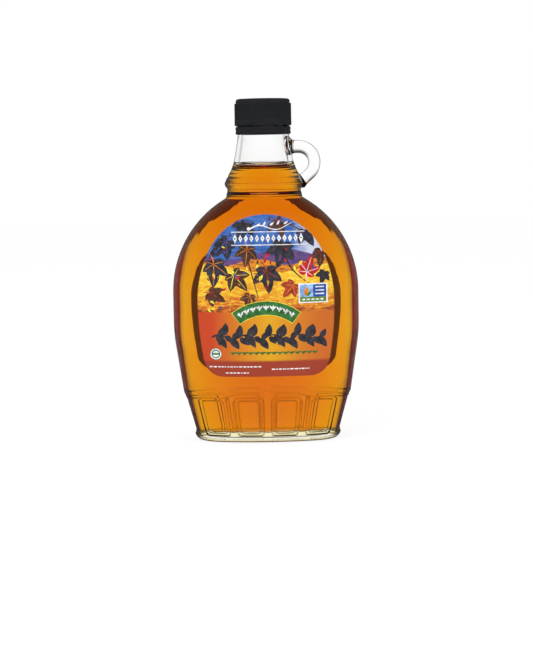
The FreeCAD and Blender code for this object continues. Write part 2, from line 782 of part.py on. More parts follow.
def check(nodes):
    """Stops if any object failed or any node's shape is missing, broken or not one solid."""
    for item in doc.Objects:
        if "Invalid" in item.State or "Error" in item.State:
            raise RuntimeError(f"{item.Name} failed: {item.State}")
    for name, node in nodes.items():
        shape = node.Shape
        if shape.isNull() or not shape.isValid() or len(shape.Solids) != 1:
            raise RuntimeError(f"{name} is not one valid solid")
        print(f"{name}: {shape.Volume / 1000:.1f} mL, {len(shape.Faces)} faces")


cavity = make_cavity()
hollow, flask = make_glass(cavity)
glass = round_handle_roots(hollow)
skin_inset = f"0 - {cell('label_thickness')}"
label_skin = oval_body("label_skin", UPPER_LEVELS, skin_inset, skin_inset)
nodes = {
    "glass": glass,
    "syrup": make_syrup(cavity),
    "cap": make_closure(),
    "label_front": make_label("label_on_front", -1, "label_half_width", "label_top", label_skin, flask),
    "label_back": make_label("label_on_back", 1, "back_label_half_width", "back_label_top", label_skin, flask),
}
for name, node in nodes.items():
    node.Label = name
doc.recompute()
check(nodes)

os.makedirs("parts", exist_ok=True)
for name, node in nodes.items():
    node.Shape.exportStep(f"parts/{name}.step")
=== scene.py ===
import bpy
import bmesh
import numpy as np
from math import asin, atan2, cos, exp, hypot, pi, radians, sin, sqrt
from mathutils import Matrix, Vector


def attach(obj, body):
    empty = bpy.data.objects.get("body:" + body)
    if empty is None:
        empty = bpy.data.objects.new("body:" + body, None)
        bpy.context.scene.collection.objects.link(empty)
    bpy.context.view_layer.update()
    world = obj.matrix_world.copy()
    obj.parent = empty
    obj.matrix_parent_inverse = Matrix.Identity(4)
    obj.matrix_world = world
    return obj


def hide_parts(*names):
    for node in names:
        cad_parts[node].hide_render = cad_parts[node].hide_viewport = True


# Syrup flask: clear glass with a ring handle, amber syrup, black screw cap, two paper labels.
# Shapes are worked out in millimetres and turned into metres when a mesh is made.

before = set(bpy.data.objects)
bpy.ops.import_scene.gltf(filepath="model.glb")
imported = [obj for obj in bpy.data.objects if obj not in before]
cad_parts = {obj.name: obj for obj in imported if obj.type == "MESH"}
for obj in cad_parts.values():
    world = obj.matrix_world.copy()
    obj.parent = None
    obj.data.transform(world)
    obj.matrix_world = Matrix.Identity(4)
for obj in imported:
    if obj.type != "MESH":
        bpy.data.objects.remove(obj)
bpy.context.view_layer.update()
scene = bpy.context.scene
print("frame loaded:", sorted(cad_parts))


def newObject(name, data, *materials):
    piece = bpy.data.objects.new(name, data)
    scene.collection.objects.link(piece)
    for material in materials:
        data.materials.append(material)
    return piece


def makeMesh(name, verts, faces, smooth=True):
    # verts in millimetres
    mesh = bpy.data.meshes.new(name)
    mesh.from_pydata([tuple(v) for v in np.asarray(verts, float) * 0.001], [], faces)
    mesh.validate()
    mesh.update()
    shadeMesh(mesh, smooth)
    return mesh


def shadeMesh(mesh, smooth=True):
    mesh.polygons.foreach_set("use_smooth", [smooth] * len(mesh.polygons))


def gridFaces(rowCount, columnCount):
    faces = []
    for row in range(rowCount - 1):
        low = row * columnCount
        high = low + columnCount
        for column in range(columnCount):
            after = (column + 1) % columnCount
            faces.append((low + column, low + after, high + after, high + column))
    return faces


def tubeMesh(name, rows):
    # rows of points going round, closed at both ends by a fan to the middle of the end row
    rows = np.asarray(rows, float)
    rowCount, columnCount, _ = rows.shape
    around = [(k, (k + 1) % columnCount) for k in range(columnCount)]
    last, tip = (rowCount - 1) * columnCount, rowCount * columnCount
    faces = gridFaces(rowCount, columnCount)
    faces += [(tip, after, k) for k, after in around]
    faces += [(tip + 1, last + k, last + after) for k, after in around]
    verts = np.vstack([rows.reshape(-1, 3), rows[0].mean(axis=0), rows[-1].mean(axis=0)])
    return makeMesh(name, verts, faces)


def smoothStep(low, high, value):
    t = np.clip((np.asarray(value, float) - low) / (high - low), 0.0, 1.0)
    return t * t * (3 - 2 * t)


def softened(values, spread, times):
    # evens out a run of numbers along its first axis, ends held
    values = np.array(values, float)
    for _ in range(times):
        values[1:-1] += spread * (values[:-2] + values[2:] - 2 * values[1:-1])
    return values


# outside of the flask: an oval in plan, its face and back on one wide arc
flask = {
    "halfWidth": 49.2, "halfDepth": 25.2, "faceRadius": 85.0,
    "sideBottom": 62.8, "sideTop": 78.4, "shoulderRadius": 56.8,
    "browHeight": 115.0, "browRadius": 18.3,
    "flankArc": 12.2, "flankDrop": 0.92, "flankSlope": 0.152,
    "hipHeight": 33.0, "beltHeight": 26.8, "beltDepth": 24.85,
    "knuckle": (21.6, 43.95, 24.2),  # height, half width, half depth
    "foot": (37.9, 21.2),  # half width, half depth
    "heelRadius": 2.6, "heelTurns": (10, 25, 40, 55, 70, 84),
    "bodyTop": 127.78,
    # recess under the foot: half width, half depth, height
    "under": ((4, 1.8, 1.35), (14, 6, 1.35), (24, 10.5, 1.3), (27.6, 11.8, 1.2),
              (29.2, 13.2, 0.7), (30.4, 14.4, 0.16), (31.2, 15.0, 0.0)),
    # fine stippling on the flat that it stands on: first and last half width, rows, height
    "stipple": (31.9, 35.0, 7, 0.22),
    "stippleDepth": 16.6,
    "footLevels": (2.7, 3.0, 3.25, 3.5, 3.75, 4.0, 4.3, 4.55, 4.8, 5.05, 5.3, 5.7, 6.3,
                   *np.linspace(7.2, 20.2, 11), 20.8, 21.3, 21.7, 21.95, 22.2, 22.45, 22.7, 23.0,
                   23.3, 23.55, 23.8, 24.05, 24.3, 24.6, 24.9, *np.arange(25.2, 28.4, 0.3),
                   28.8, 29.4),
    "bodyLevels": (30.2, 31.2, 32.4, 34, 36, *np.linspace(38.5, 116, 34),
                   *np.linspace(117.5, 126.2, 9), 126.8, 127.3, 127.7),
    "easedUpTo": 40,  # below this the ribs run into the flank without a crease
}


def endArc(width, depth, face):
    # radius and centre of the oval's end, and the angle at which the face's arc takes over
    radius = (2 * face * depth - width ** 2 - depth ** 2) / (2 * (face - width))
    centre = width - radius
    return radius, centre, atan2(face - depth, centre)


def ovalQuarter(width, depth, face, fractions):
    # points from the middle of the face round to the end of the oval, with their outward normals
    endRadius, endCentre, meeting = endArc(width, depth, face)
    faceLength = face * (pi / 2 - meeting)
    length = faceLength + endRadius * meeting
    along = np.asarray(fractions) * length
    onFace = along <= faceLength
    onEnd = meeting - (along - faceLength) / endRadius
    angle = np.where(onFace, pi / 2 - along / face, onEnd)
    radius = np.where(onFace, face, endRadius)
    x = np.where(onFace, 0.0, endCentre) + radius * np.cos(angle)
    y = np.where(onFace, depth - face, 0.0) + radius * np.sin(angle)
    return x, y, np.cos(angle), np.sin(angle), length


def ovalRow(width, depth, height, fractions, face=flask["faceRadius"], inset=0.0):
    # one closed row: front middle, +X end, back middle, -X end
    x, y, nx, ny, _ = ovalQuarter(width, depth, face, fractions)
    quarter = np.column_stack([x - nx * inset, ny * inset - y])
    half = np.vstack([quarter, quarter[-2::-1] * [1, -1]])
    outline = np.vstack([half, half[-2:0:-1] * [-1, 1]])
    return np.column_stack([outline, np.full(len(outline), height)])


def roundRows(places, fractions):
    return [ovalRow(radius, radius, height, fractions) for radius, height in places]


def flaskWidth(z):
    f = flask
    if z >= f["sideTop"]:
        arc = f["shoulderRadius"]
        return f["halfWidth"] - arc + sqrt(arc ** 2 - (z - f["sideTop"]) ** 2)
    if z >= f["sideBottom"]:
        return f["halfWidth"]
    taperTop = f["sideBottom"] - f["flankArc"]
    if z >= taperTop:
        return f["halfWidth"] - f["flankDrop"] * ((f["sideBottom"] - z) / f["flankArc"]) ** 2
    belt = f["halfWidth"] - f["flankDrop"] - f["flankSlope"] * (taperTop - f["beltHeight"])
    if z >= f["beltHeight"]:
        return belt + f["flankSlope"] * (z - f["beltHeight"])
    height, width, _ = f["knuckle"]
    if z >= height:
        return width + (belt - width) * (z - height) / (f["beltHeight"] - height)
    return f["foot"][0] + (width - f["foot"][0]) * z / height


def flaskDepth(z):
    f = flask
    if z >= f["browHeight"]:
        arc = f["browRadius"]
        return f["halfDepth"] - arc + sqrt(arc ** 2 - (z - f["browHeight"]) ** 2)
    if z >= f["hipHeight"]:
        return f["halfDepth"]
    if z >= f["beltHeight"]:
        share = (z - f["beltHeight"]) / (f["hipHeight"] - f["beltHeight"])
        return f["beltDepth"] + (f["halfDepth"] - f["beltDepth"]) * sin(share * pi / 2)
    height, _, depth = f["knuckle"]
    if z >= height:
        return depth + (f["beltDepth"] - depth) * (z - height) / (f["beltHeight"] - height)
    return f["foot"][1] + (depth - f["foot"][1]) * z / height


def faceY(x, z, lift=0.0):
    # how far in front of the middle the flask's face lies at a place on it
    depth, face = flaskDepth(z), flask["faceRadius"]
    endRadius, endCentre, meeting = endArc(flaskWidth(z), depth, face)
    if abs(x) <= endCentre + endRadius * cos(meeting):
        return depth - face + sqrt((face + lift) ** 2 - x ** 2)
    return sqrt(max((endRadius + lift) ** 2 - (abs(x) - endCentre) ** 2, 0.0))


# panels, ribs and brow moulded into the foot
panels = {
    "ribs": (0.0, 19.78),  # distance round the outline of the front ribs
    "cornerRib": (38.0, 14.0),
    "ribHalfWidth": 2.1,
    "top": 23.9, "bottom": 3.6, "corner": 2.2, "depth": 0.68, "edge": 0.55,
    "paneTop": 22.3, "paneBottom": 4.9, "paneCorner": 1.5, "paneDepth": 0.5, "paneEdge": 0.42,
    "paneMargin": 1.9,
    "browMiddle": 27.3, "browEnd": 25.4, "browFade": 5.0, "browOverlap": 2.0,
    "browPast": 1.4,  # how far the brow runs past a panel's sides
    "bevel": 1.3, "bevelShare": 0.5,
    # points round a quarter, crowded at the panels' edges
    "columns": 69, "evenWeight": 0.5, "edgeWeight": 4.6, "edgeReach": 0.45,
}


def roundedBox(s, z, left, right, bottom, top, corner):
    # signed distance to a box with round corners, minus inside
    dx = np.abs(s - (left + right) / 2) - (right - left) / 2 + corner
    dz = np.abs(z - (bottom + top) / 2) - (top - bottom) / 2 + corner
    outside = np.hypot(np.maximum(dx, 0), np.maximum(dz, 0))
    return outside + np.minimum(np.maximum(dx, dz), 0) - corner


def panelSpans():
    # where the panels start and end, round one side from the front middle, and a quarter's length
    _, width, depth = flask["knuckle"]
    dense = np.linspace(0, 1, 4001)
    x, y, _, _, length = ovalQuarter(width, depth, flask["faceRadius"], dense)
    cornerX, cornerY = panels["cornerRib"]
    corner = dense[np.argmin(np.hypot(x - cornerX, y - cornerY))] * length
    half = panels["ribHalfWidth"]
    first, second = panels["ribs"]
    return [(first + half, second - half), (second + half, corner - half),
            (corner + half, 2 * length - corner - half)], length


def footInset(s, z):
    # how deep the panels lie at places s round a quarter of the knuckle outline, at height z
    p = panels
    inset = np.zeros_like(s)
    brow = p["browMiddle"] + (p["browEnd"] - p["browMiddle"]) * (s / quarterLength) ** 2
    for left, right in spans:
        recess = roundedBox(s, z, left, right, p["bottom"], p["top"], p["corner"])
        sunk = p["depth"] * smoothStep(p["edge"] / 2, -p["edge"] / 2, recess)
        inset += sunk
        # the brow slopes in from the belt line to the top of the panel and dies out to points
        reach = np.clip((s - left + p["browPast"]) / p["browFade"], 0, 1)
        reach = reach * np.clip((right + p["browPast"] - s) / p["browFade"], 0, 1)
        slope = p["depth"] * p["bevelShare"] * smoothStep(0, p["bevel"], brow - z)
        above = np.maximum(slope * smoothStep(0, 1, reach) - sunk, 0)
        inset += above * smoothStep(p["top"] - p["browOverlap"], p["top"], z)
        margin = p["paneMargin"]
        pane = roundedBox(s, z, left + margin, right - margin,
                          p["paneBottom"], p["paneTop"], p["paneCorner"])
        inset += p["paneDepth"] * smoothStep(p["paneEdge"] / 2, -p["paneEdge"] / 2, pane)
    return inset


def clusteredFractions():
    # places round a quarter of the outline, closer together at the edges of panels and panes
    p = panels
    dense = np.linspace(0, quarterLength, 6001)
    weight = np.full_like(dense, p["evenWeight"])
    for left, right in spans:
        for edge in (left, left + p["paneMargin"], right - p["paneMargin"], right):
            if edge < quarterLength:
                weight += p["edgeWeight"] * np.exp(-((dense - edge) / p["edgeReach"]) ** 2)
    steps = (weight[1:] + weight[:-1]) / 2 * np.diff(dense)
    total = np.concatenate([[0], np.cumsum(steps)])
    places = np.interp(np.linspace(0, total[-1], p["columns"] + 1), total, dense)
    return places / quarterLength


spans, quarterLength = panelSpans()
glassColumns = clusteredFractions()

# neck, from the collar to the mouth: radius and heights
neck = {
    "collar": (20.0, 128.6, 129.6),
    "groove": (19.4, 131.4, 132.6),
    "beadLow": (20.1, 133.6),
    "beadArc": 2.4,
    "beadHigh": (20.45, 136.6),
    "funnelArc": 45.0,
    "funnelTop": (15.6, 147.4),
    "throat": (13.35, 160.4),
    "lockRing": (13.55, 162.1, 163.1),
    "finish": (13.2, 163.6, 170.0, 178.4),
    "stepRings": ((20.0, 137.9), (18.8, 140.2)),
    "stepReach": 0.45, "stepBelow": 2, "stepAbove": 1.5,
    "stepFall": 0.9, "stepUndercut": 2.5,  # how fast a step's top and underside run in
    "lip": (0.18, 0.6), "spacing": 0.46,
}


def arcPoints(start, end, radius, outward, step):
    start, end = np.array(start, float), np.array(end, float)
    chord = end - start
    length = np.hypot(*chord)
    across = np.array([chord[1], -chord[0]]) / length
    if (across[0] > 0) != outward:
        across = -across
    depth = sqrt(radius ** 2 - (length / 2) ** 2)
    centre = (start + end) / 2 - across * depth
    first, last = (atan2(*(point - centre)[::-1]) for point in (start, end))
    last -= 2 * pi * round((last - first) / (2 * pi))
    count = max(3, int(radius * abs(last - first) / step))
    angles = np.linspace(first, last, count + 1)
    return np.column_stack([centre[0] + radius * np.cos(angles),
                            centre[1] + radius * np.sin(angles)])


def distanceAlong(points):
    return np.concatenate([[0], np.cumsum(np.hypot(*np.diff(points, axis=0).T))])


def evenly(points, step):
    points = np.asarray(points, float)
    lengths = distanceAlong(points)
    places = np.linspace(0, lengths[-1], max(2, int(lengths[-1] / step)) + 1)
    return np.column_stack([np.interp(places, lengths, column) for column in points.T])


def neckOutline():
    n = neck
    (collar, *collarLevels), (groove, *grooveLevels) = n["collar"], n["groove"]
    points = [(collar, z) for z in collarLevels] + [(groove, z) for z in grooveLevels]
    points += [n["beadLow"], *arcPoints(n["beadLow"], n["beadHigh"], n["beadArc"], True, 0.2)]
    points += [*arcPoints(n["beadHigh"], n["funnelTop"], n["funnelArc"], False, 0.2), n["throat"]]
    outline = evenly(points, 0.12)
    z = outline[:, 1]
    for radius, height in n["stepRings"]:
        near = (z > height - n["stepBelow"]) & (z < height + n["stepAbove"])
        ring = radius - n["stepFall"] * np.maximum(z - height, 0)
        ring -= n["stepUndercut"] * np.maximum(height - n["stepReach"] - z, 0)
        outline[:, 0] = np.where(near, np.maximum(outline[:, 0], ring), outline[:, 0])
    visible = evenly(softened(outline, 0.25, 10), n["spacing"])
    ringRadius, ringLow, ringHigh = n["lockRing"]
    radius, low, middle, mouth = n["finish"]
    small, large = n["lip"]
    upper = [(ringRadius, ringLow), (ringRadius, ringHigh), (radius, low), (radius, middle),
             (radius, mouth - large), (radius - small, mouth - small), (radius - large, mouth)]
    return np.vstack([visible, upper])


# hollow inside of the flask
cavity = {
    "floor": 5.2, "floorSize": (36.6, 18.9), "floorFillet": 4.0,
    "lowWall": (24.0, 40.9, 21.2),  # height, half width, half depth
    "evenFrom": 38.8,  # the wall is even from this height up
    "sideWall": 3.2, "faceWall": 3.2,
    "bodyLevels": (*np.linspace(11.5, 120, 44), *np.linspace(121, flask["bodyTop"] - 0.3, 8)),
    "neckBore": (17.2, 128.2, 135.6),
    "boreArc": 42.0,
    "funnelBore": (12.4, 149.0),
    "mouthBore": (10.8, 159.0, 178.4),
    "spacing": 0.7,
    "rim": ((11.9, 178.4), (11.2, 178.36), (10.86, 178.1)),
    "top": 178.0,
}


def cavitySize(z):
    c = cavity
    lowHeight, *lowSize = c["lowWall"]
    lowSize = np.array(lowSize)
    if z <= lowHeight:
        floorSize = np.array(c["floorSize"])
        return floorSize + (z - c["floor"]) / (lowHeight - c["floor"]) * (lowSize - floorSize)
    level = max(z, c["evenFrom"])
    upper = np.array([flaskWidth(level) - c["sideWall"], flaskDepth(level) - c["faceWall"]])
    if z >= c["evenFrom"]:
        return upper
    share = (z - lowHeight) / (c["evenFrom"] - lowHeight)
    return lowSize + (upper - lowSize) * [share, sin(share * pi / 2)]


def cavityRows(fractions, grow, top):
    # rows of the cavity from the middle of its floor up to a height, moved outwards by grow
    c = cavity
    fillet = c["floorFillet"]
    floor = np.array(c["floorSize"]) - fillet
    rows = [(*share * floor, c["floor"]) for share in (0.04, 0.3, 0.6, 0.85)]
    for angle in np.radians(np.arange(0, 91, 11.25)):
        height = c["floor"] + fillet * (1 - cos(angle))
        rows.append((*cavitySize(height) - fillet * (1 - sin(angle)), height))
    rows += [(*cavitySize(height), height) for height in c["bodyLevels"]]
    (wide, low, high), (narrow, *narrowLevels) = c["neckBore"], c["mouthBore"]
    bend = arcPoints((wide, high), c["funnelBore"], c["boreArc"], False, 0.3)
    bore = [(wide, low), (wide, high), *bend, *((narrow, z) for z in narrowLevels)]
    rows += [(radius, radius, height) for radius, height in evenly(bore, c["spacing"])]
    rows = np.array(rows)
    rows[4:] = softened(rows[4:], 0.22, 8)
    face = flask["faceRadius"] - c["faceWall"]
    made = []
    for width, depth, height in rows[rows[:, 2] <= top]:
        drop = grow if height <= c["floor"] + 0.001 else 0.0
        made.append(ovalRow(width + grow, depth + grow, height - drop, fractions, face))
    return made


def outerRows():
    f = flask
    rows = [ovalRow(width, depth, height, glassColumns) for width, depth, height in f["under"]]
    first, last, count, stippleHeight = f["stipple"]
    for step, width in enumerate(np.linspace(first, last, count)):
        row = ovalRow(width, width - f["stippleDepth"], 0.0, glassColumns)
        row[(step % 2)::2, 2] += stippleHeight
        rows.append(row)
    for angle in np.radians(f["heelTurns"]):
        inward = f["heelRadius"] * (1 - sin(angle))
        height = f["heelRadius"] * (1 - cos(angle))
        rows.append(ovalRow(flaskWidth(height) - inward, flaskDepth(height) - inward, height,
                            glassColumns))
    dense = np.arange(f["footLevels"][0], 45, 0.1)
    smoothWidths, smoothDepths = (softened([size(z) for z in dense], 0.25, 160)
                                  for size in (flaskWidth, flaskDepth))
    for z in f["footLevels"] + f["bodyLevels"]:
        width, depth, inset = flaskWidth(z), flaskDepth(z), 0.0
        if z < f["easedUpTo"]:
            width, depth = np.interp(z, dense, smoothWidths), np.interp(z, dense, smoothDepths)
        if z < flask["bodyLevels"][0]:
            inset = footInset(glassColumns * quarterLength, z)
        rows.append(ovalRow(width, depth, z, glassColumns, inset=inset))
    return rows + roundRows(neckOutline(), glassColumns)


# painted light in the foot's thick glass: a tint on what is seen through it, with painted shade
# along the moulded relief and a painted yellow reflection of the syrup's light
paintedShadeAndGlow = {
    "upTo": 29,
    "reliefFrom": 2.65,  # the rows below are turned under the foot
    # painted shade: relief as steep as this gets the full dark tint below
    "steep": 1.1,  # relief this steep is as dark as it gets
    "dark": np.array([0.42, 0.34, 0.30]),
    # painted yellow: the tint that stands in for syrup light reflected in the base glass
    "paintedSyrupGlow": np.array([0.93, 0.80, 0.22]),
    # heights between which the painted yellow reflection of the syrup's light comes and goes, and
    # its strength
    "seam": (2.6, 3.6, 5.6, 7.2, 0.75),
    # the painted yellow under the foot: height where it is full, height where it ends, its strength
    "under": (0.9, 1.9, 0.55),
}


def paintedShadeAndGlowAt(z, relief):
    # painted shade along the relief, and a painted yellow reflection of the syrup's light at the
    # syrup's floor and under the foot
    rise, full, fall, end, strength = paintedShadeAndGlow["seam"]
    paintedSyrupGlow = strength * float(smoothStep(rise, full, z) * smoothStep(end, fall, z))
    full, end, strength = paintedShadeAndGlow["under"]
    paintedSyrupGlow += strength * float(smoothStep(end, full, z))
    tint = 1 + (paintedShadeAndGlow["paintedSyrupGlow"] - 1) * paintedSyrupGlow
    return tint * (1 - min(relief / paintedShadeAndGlow["steep"], 1.0) * (1 - paintedShadeAndGlow["dark"]))


def reliefAt(z):
    # steepness of the moulded relief round one row, laid out as the row's points are
    places, step = glassColumns * quarterLength, 0.08
    along = (footInset(places + step, z) - footInset(places - step, z)) / (2 * step)
    up = (footInset(places, z + step) - footInset(places, z - step)) / (2 * step)
    quarter = np.hypot(along, up)
    half = np.concatenate([quarter, quarter[-2::-1]])
    return np.concatenate([half, half[-2:0:-1]])


def paintShadeAndGlow(mesh):
    # painted shade and painted syrup reflection, carried by the points of the foot's outer rows
    known = {}
    for row in outerRows():
        z = float(row[:, 2].max())
        if z > paintedShadeAndGlow["upTo"]:
            break
        relief = reliefAt(z) if z > paintedShadeAndGlow["reliefFrom"] else np.zeros(len(row))
        for place, steep in zip(row, relief):
            known[tuple(np.round(place, 2))] = paintedShadeAndGlowAt(place[2], float(steep))
    places = np.empty(len(mesh.vertices) * 3)
    mesh.vertices.foreach_get("co", places)
    places = places.reshape(-1, 3) * 1000
    colours = np.ones((len(places), 4))
    for number in np.nonzero(places[:, 2] < paintedShadeAndGlow["upTo"])[0]:
        colours[number, :3] = known.get(tuple(np.round(places[number], 2)), 1.0)
    layer = mesh.color_attributes.new("paintedShadeAndGlow", "FLOAT_COLOR", "POINT")
    layer.data.foreach_set("color", colours.ravel())
    print("cast on", int((colours[:, :3].min(axis=1) < 0.999).sum()), "points")


def makeFlask():
    inside = cavityRows(glassColumns, 0.0, cavity["top"])[::-1]
    rim = roundRows(cavity["rim"], glassColumns)
    return tubeMesh("glassFlask", outerRows() + rim + inside)


# ring handle: a round rod from the throat, out, round and back to the bead
handle = {
    "start": 12.6, "height": 154.4,
    "bendX": 18.5, "bend": 8.3,
    "tail": 7.3, "tailAngle": 40.0,
    "rod": 3.5, "tailRod": 3.05,
    "rootFlare": (2.125, 0.6, 1.5),  # how much, where and over what length
    "tipFlare": (0.9, 0.0, 2.6),
    "columns": 56, "spacing": 0.45,
    # box in which the joint with the neck is evened out
    "jointLow": (12, -8, 130), "jointHigh": (24, 8, 162), "jointAngle": 22, "jointRounds": 16,
    "jointEasing": 0.4,
}


def makeHandle():
    h = handle
    last = radians(h["tailAngle"] - 90)
    points = [(h["start"], h["height"])]
    points += [(h["bendX"] + h["bend"] * cos(a),
                h["height"] - h["bend"] + h["bend"] * sin(a))
               for a in np.linspace(pi / 2, last, 40)]
    endX, endZ = points[-1]
    points.append((endX + h["tail"] * sin(last), endZ - h["tail"] * cos(last)))
    path = softened(evenly(points, h["spacing"]), 0.25, 6)
    along = distanceAlong(path)
    tangents = np.gradient(path, axis=0)
    tangents /= np.hypot(*tangents.T)[:, None]
    angles = np.arange(h["columns"]) * 2 * pi / h["columns"]
    rows = []
    for place, tangent, distance in zip(path, tangents, along):
        radius = h["rod"] + (h["tailRod"] - h["rod"]) * distance / along[-1]
        for (size, where, length), away in ((h["rootFlare"], distance),
                                            (h["tipFlare"], along[-1] - distance)):
            radius += size * exp(-((away - where) / length) ** 2)
        side, out = radius * np.cos(angles), radius * np.sin(angles)
        rows.append(np.column_stack([place[0] - tangent[1] * out, side,
                                     place[1] + tangent[0] * out]))
    return tubeMesh("ringHandle", rows)


def joinSolids(base, tool):
    cutter = base.modifiers.new("fused", "BOOLEAN")
    cutter.operation = "UNION"
    cutter.solver = "EXACT"
    cutter.object = tool
    bpy.context.view_layer.update()
    shaped = base.evaluated_get(bpy.context.evaluated_depsgraph_get())
    made = bpy.data.meshes.new_from_object(shaped)
    base.modifiers.clear()
    base.data = made
    bpy.data.objects.remove(tool)


def easeJoint(mesh):
    # evens out the sharp line where two solids were fused
    h = handle
    bm = bmesh.new()
    bm.from_mesh(mesh)
    near = set()
    for edge in bm.edges:
        if (len(edge.link_faces) == 2
                and edge.calc_face_angle(0) > radians(h["jointAngle"])):
            middle = (edge.verts[0].co + edge.verts[1].co) * 500
            if all(h["jointLow"][k] < middle[k] < h["jointHigh"][k] for k in range(3)):
                near.update(edge.verts)
    for _ in range(2):
        near |= {other for vert in near for edge in vert.link_edges for other in edge.verts}
    for _ in range(h["jointRounds"]):
        bmesh.ops.smooth_vert(bm, verts=list(near), factor=h["jointEasing"],
                              use_axis_x=True, use_axis_y=True, use_axis_z=True)
    bm.to_mesh(mesh)
    bm.free()


def newMaterial(name):
    material = bpy.data.materials.new(name)
    material.use_nodes = True
    return material, material.node_tree, material.node_tree.nodes["Principled BSDF"]


def fillIn(node, values):
    # each socket takes a number, a colour, or the output of another node
    for name, value in values.items():
        if isinstance(value, bpy.types.NodeSocket):
            node.id_data.links.new(value, node.inputs[name])
        else:
            node.inputs[name].default_value = value


def addNode(tree, kind, values={}, **settings):
    node = tree.nodes.new("ShaderNode" + kind)
    for key, value in settings.items():
        setattr(node, key, value)
    fillIn(node, values)
    return node


def calc(tree, operation, *values):
    return addNode(tree, "Math", dict(enumerate(values)), operation=operation).outputs[0]


def blend(tree, factor, low, high, kind="RGBA"):
    values = {"Factor": factor, "A": low, "B": high}
    return addNode(tree, "Mix", values, data_type=kind).outputs["Result"]


def blendLevel(tree, factor, low, high):
    return blend(tree, factor, low, high, "FLOAT")


def ranged(tree, value, start, end, low=0.0, high=1.0, kind="LINEAR"):
    values = {"Value": value, "From Min": start, "From Max": end, "To Min": low, "To Max": high}
    return addNode(tree, "MapRange", values, interpolation_type=kind).outputs["Result"]


def edgeAt(tree, value, place, width):
    # 0 below a place, 1 above it, with an edge of that width
    return ranged(tree, value, place - width / 2, place + width / 2)


def noiseOf(tree, place, scale, detail=2.0, rough=0.5):
    values = {"Vector": place, "Scale": scale, "Detail": detail, "Roughness": rough}
    return addNode(tree, "TexNoise", values).outputs["Fac"]


def bumpFrom(tree, height, strength, distance):
    values = {"Height": height, "Strength": strength, "Distance": distance}
    return addNode(tree, "Bump", values).outputs["Normal"]


def objectPlace(tree):
    return addNode(tree, "TexCoord").outputs["Object"]


def splitPlace(tree, place):
    return addNode(tree, "SeparateXYZ", {0: place}).outputs


glassFinish = {
    "ior": 1.5, "shine": 0.3, "tint": (0.86, 0.88, 0.78, 1), "density": 9.0,
    "ripple": 0.05, "rippleScale": 70, "rippleDepth": 0.001,
}
syrupFinish = {"ior": 1.47, "shine": 0.0, "tint": (0.963, 0.776, 0.0, 1), "density": 190.0}


def clearLook(name, finish):
    # a smooth clear body that colours the light on its way through
    material, tree, shader = newMaterial(name)
    fillIn(shader, {"Base Color": (1, 1, 1, 1), "Transmission Weight": 1.0, "Roughness": 0.0,
                    "IOR": finish["ior"], "Specular Tint": (*[finish["shine"]] * 3, 1)})
    volume = addNode(tree, "VolumeAbsorption",
                     {"Color": finish["tint"], "Density": finish["density"]})
    fillIn(tree.nodes["Material Output"], {"Volume": volume.outputs["Volume"]})
    return material, tree, shader


def makeGlass():
    g = glassFinish
    material, tree, shader = clearLook("clearGlass", g)
    ripples = noiseOf(tree, objectPlace(tree), g["rippleScale"], 1.0)
    # the base colour is the painted shade and painted syrup reflection laid on the foot's points
    colour = addNode(tree, "Attribute", attribute_name="paintedShadeAndGlow").outputs["Color"]
    fillIn(shader, {"Normal": bumpFrom(tree, ripples, g["ripple"], g["rippleDepth"]),
                    "Base Color": colour})
    return material


# light, floor and camera
studio = {
    "diffuseLevel": 0.75, "glossyLevel": 0.12,
    "ceilingFrom": 0.14, "ceilingTo": 0.6, "ceilingLevel": 0.06,
    "sideFrom": 0.5, "sideTo": 1.0, "sideLevel": 0.22,
    "floorHalf": 4.0, "floorDrop": 0.0002, "floorColour": (0.9, 0.9, 0.9, 1),
    "floorGlow": 1.08, "floorShare": 0.78, "floorInGloss": 0.12,
    "lamps": (("keyLamp", (-0.7, -1.1, 0.9), 9.0), ("fillLamp", (0.9, -0.9, 0.6), 4.0)),
    "lampSize": 0.9, "lampAim": (0, 0, 0.09),
    "eye": (0, -1.04, 0.146), "aim": (0, 0, 0.0559), "lens": 132.5, "roll": 0.96,
}


def sideShade(tree, place):
    # what glass shows of the surround is dimmer towards both sides
    s = studio
    heading = addNode(tree, "VectorMath", {0: place}, operation="NORMALIZE").outputs[0]
    across = calc(tree, "ABSOLUTE", splitPlace(tree, heading)["X"])
    return ranged(tree, across, s["sideFrom"], s["sideTo"], 1.0, s["sideLevel"], "SMOOTHSTEP")


def makeWorld():
    s = studio
    world = bpy.data.worlds.new("studio")
    scene.world = world
    world.use_nodes = True
    tree = world.node_tree
    rays = addNode(tree, "LightPath").outputs
    place = addNode(tree, "TexCoord").outputs["Generated"]
    # light coming through glass fades from the white surround up to a dark ceiling
    ceiling = ranged(tree, splitPlace(tree, place)["Z"], s["ceilingFrom"], s["ceilingTo"],
                     1.0, s["ceilingLevel"], "SMOOTHSTEP")
    surround = calc(tree, "MULTIPLY", ceiling, sideShade(tree, place))
    shiny = blendLevel(tree, rays["Is Glossy Ray"], s["diffuseLevel"], s["glossyLevel"])
    through = blendLevel(tree, rays["Is Transmission Ray"], shiny, surround)
    level = blendLevel(tree, rays["Is Camera Ray"], through, 1.0)
    fillIn(tree.nodes["Background"], {"Color": (1, 1, 1, 1), "Strength": level})


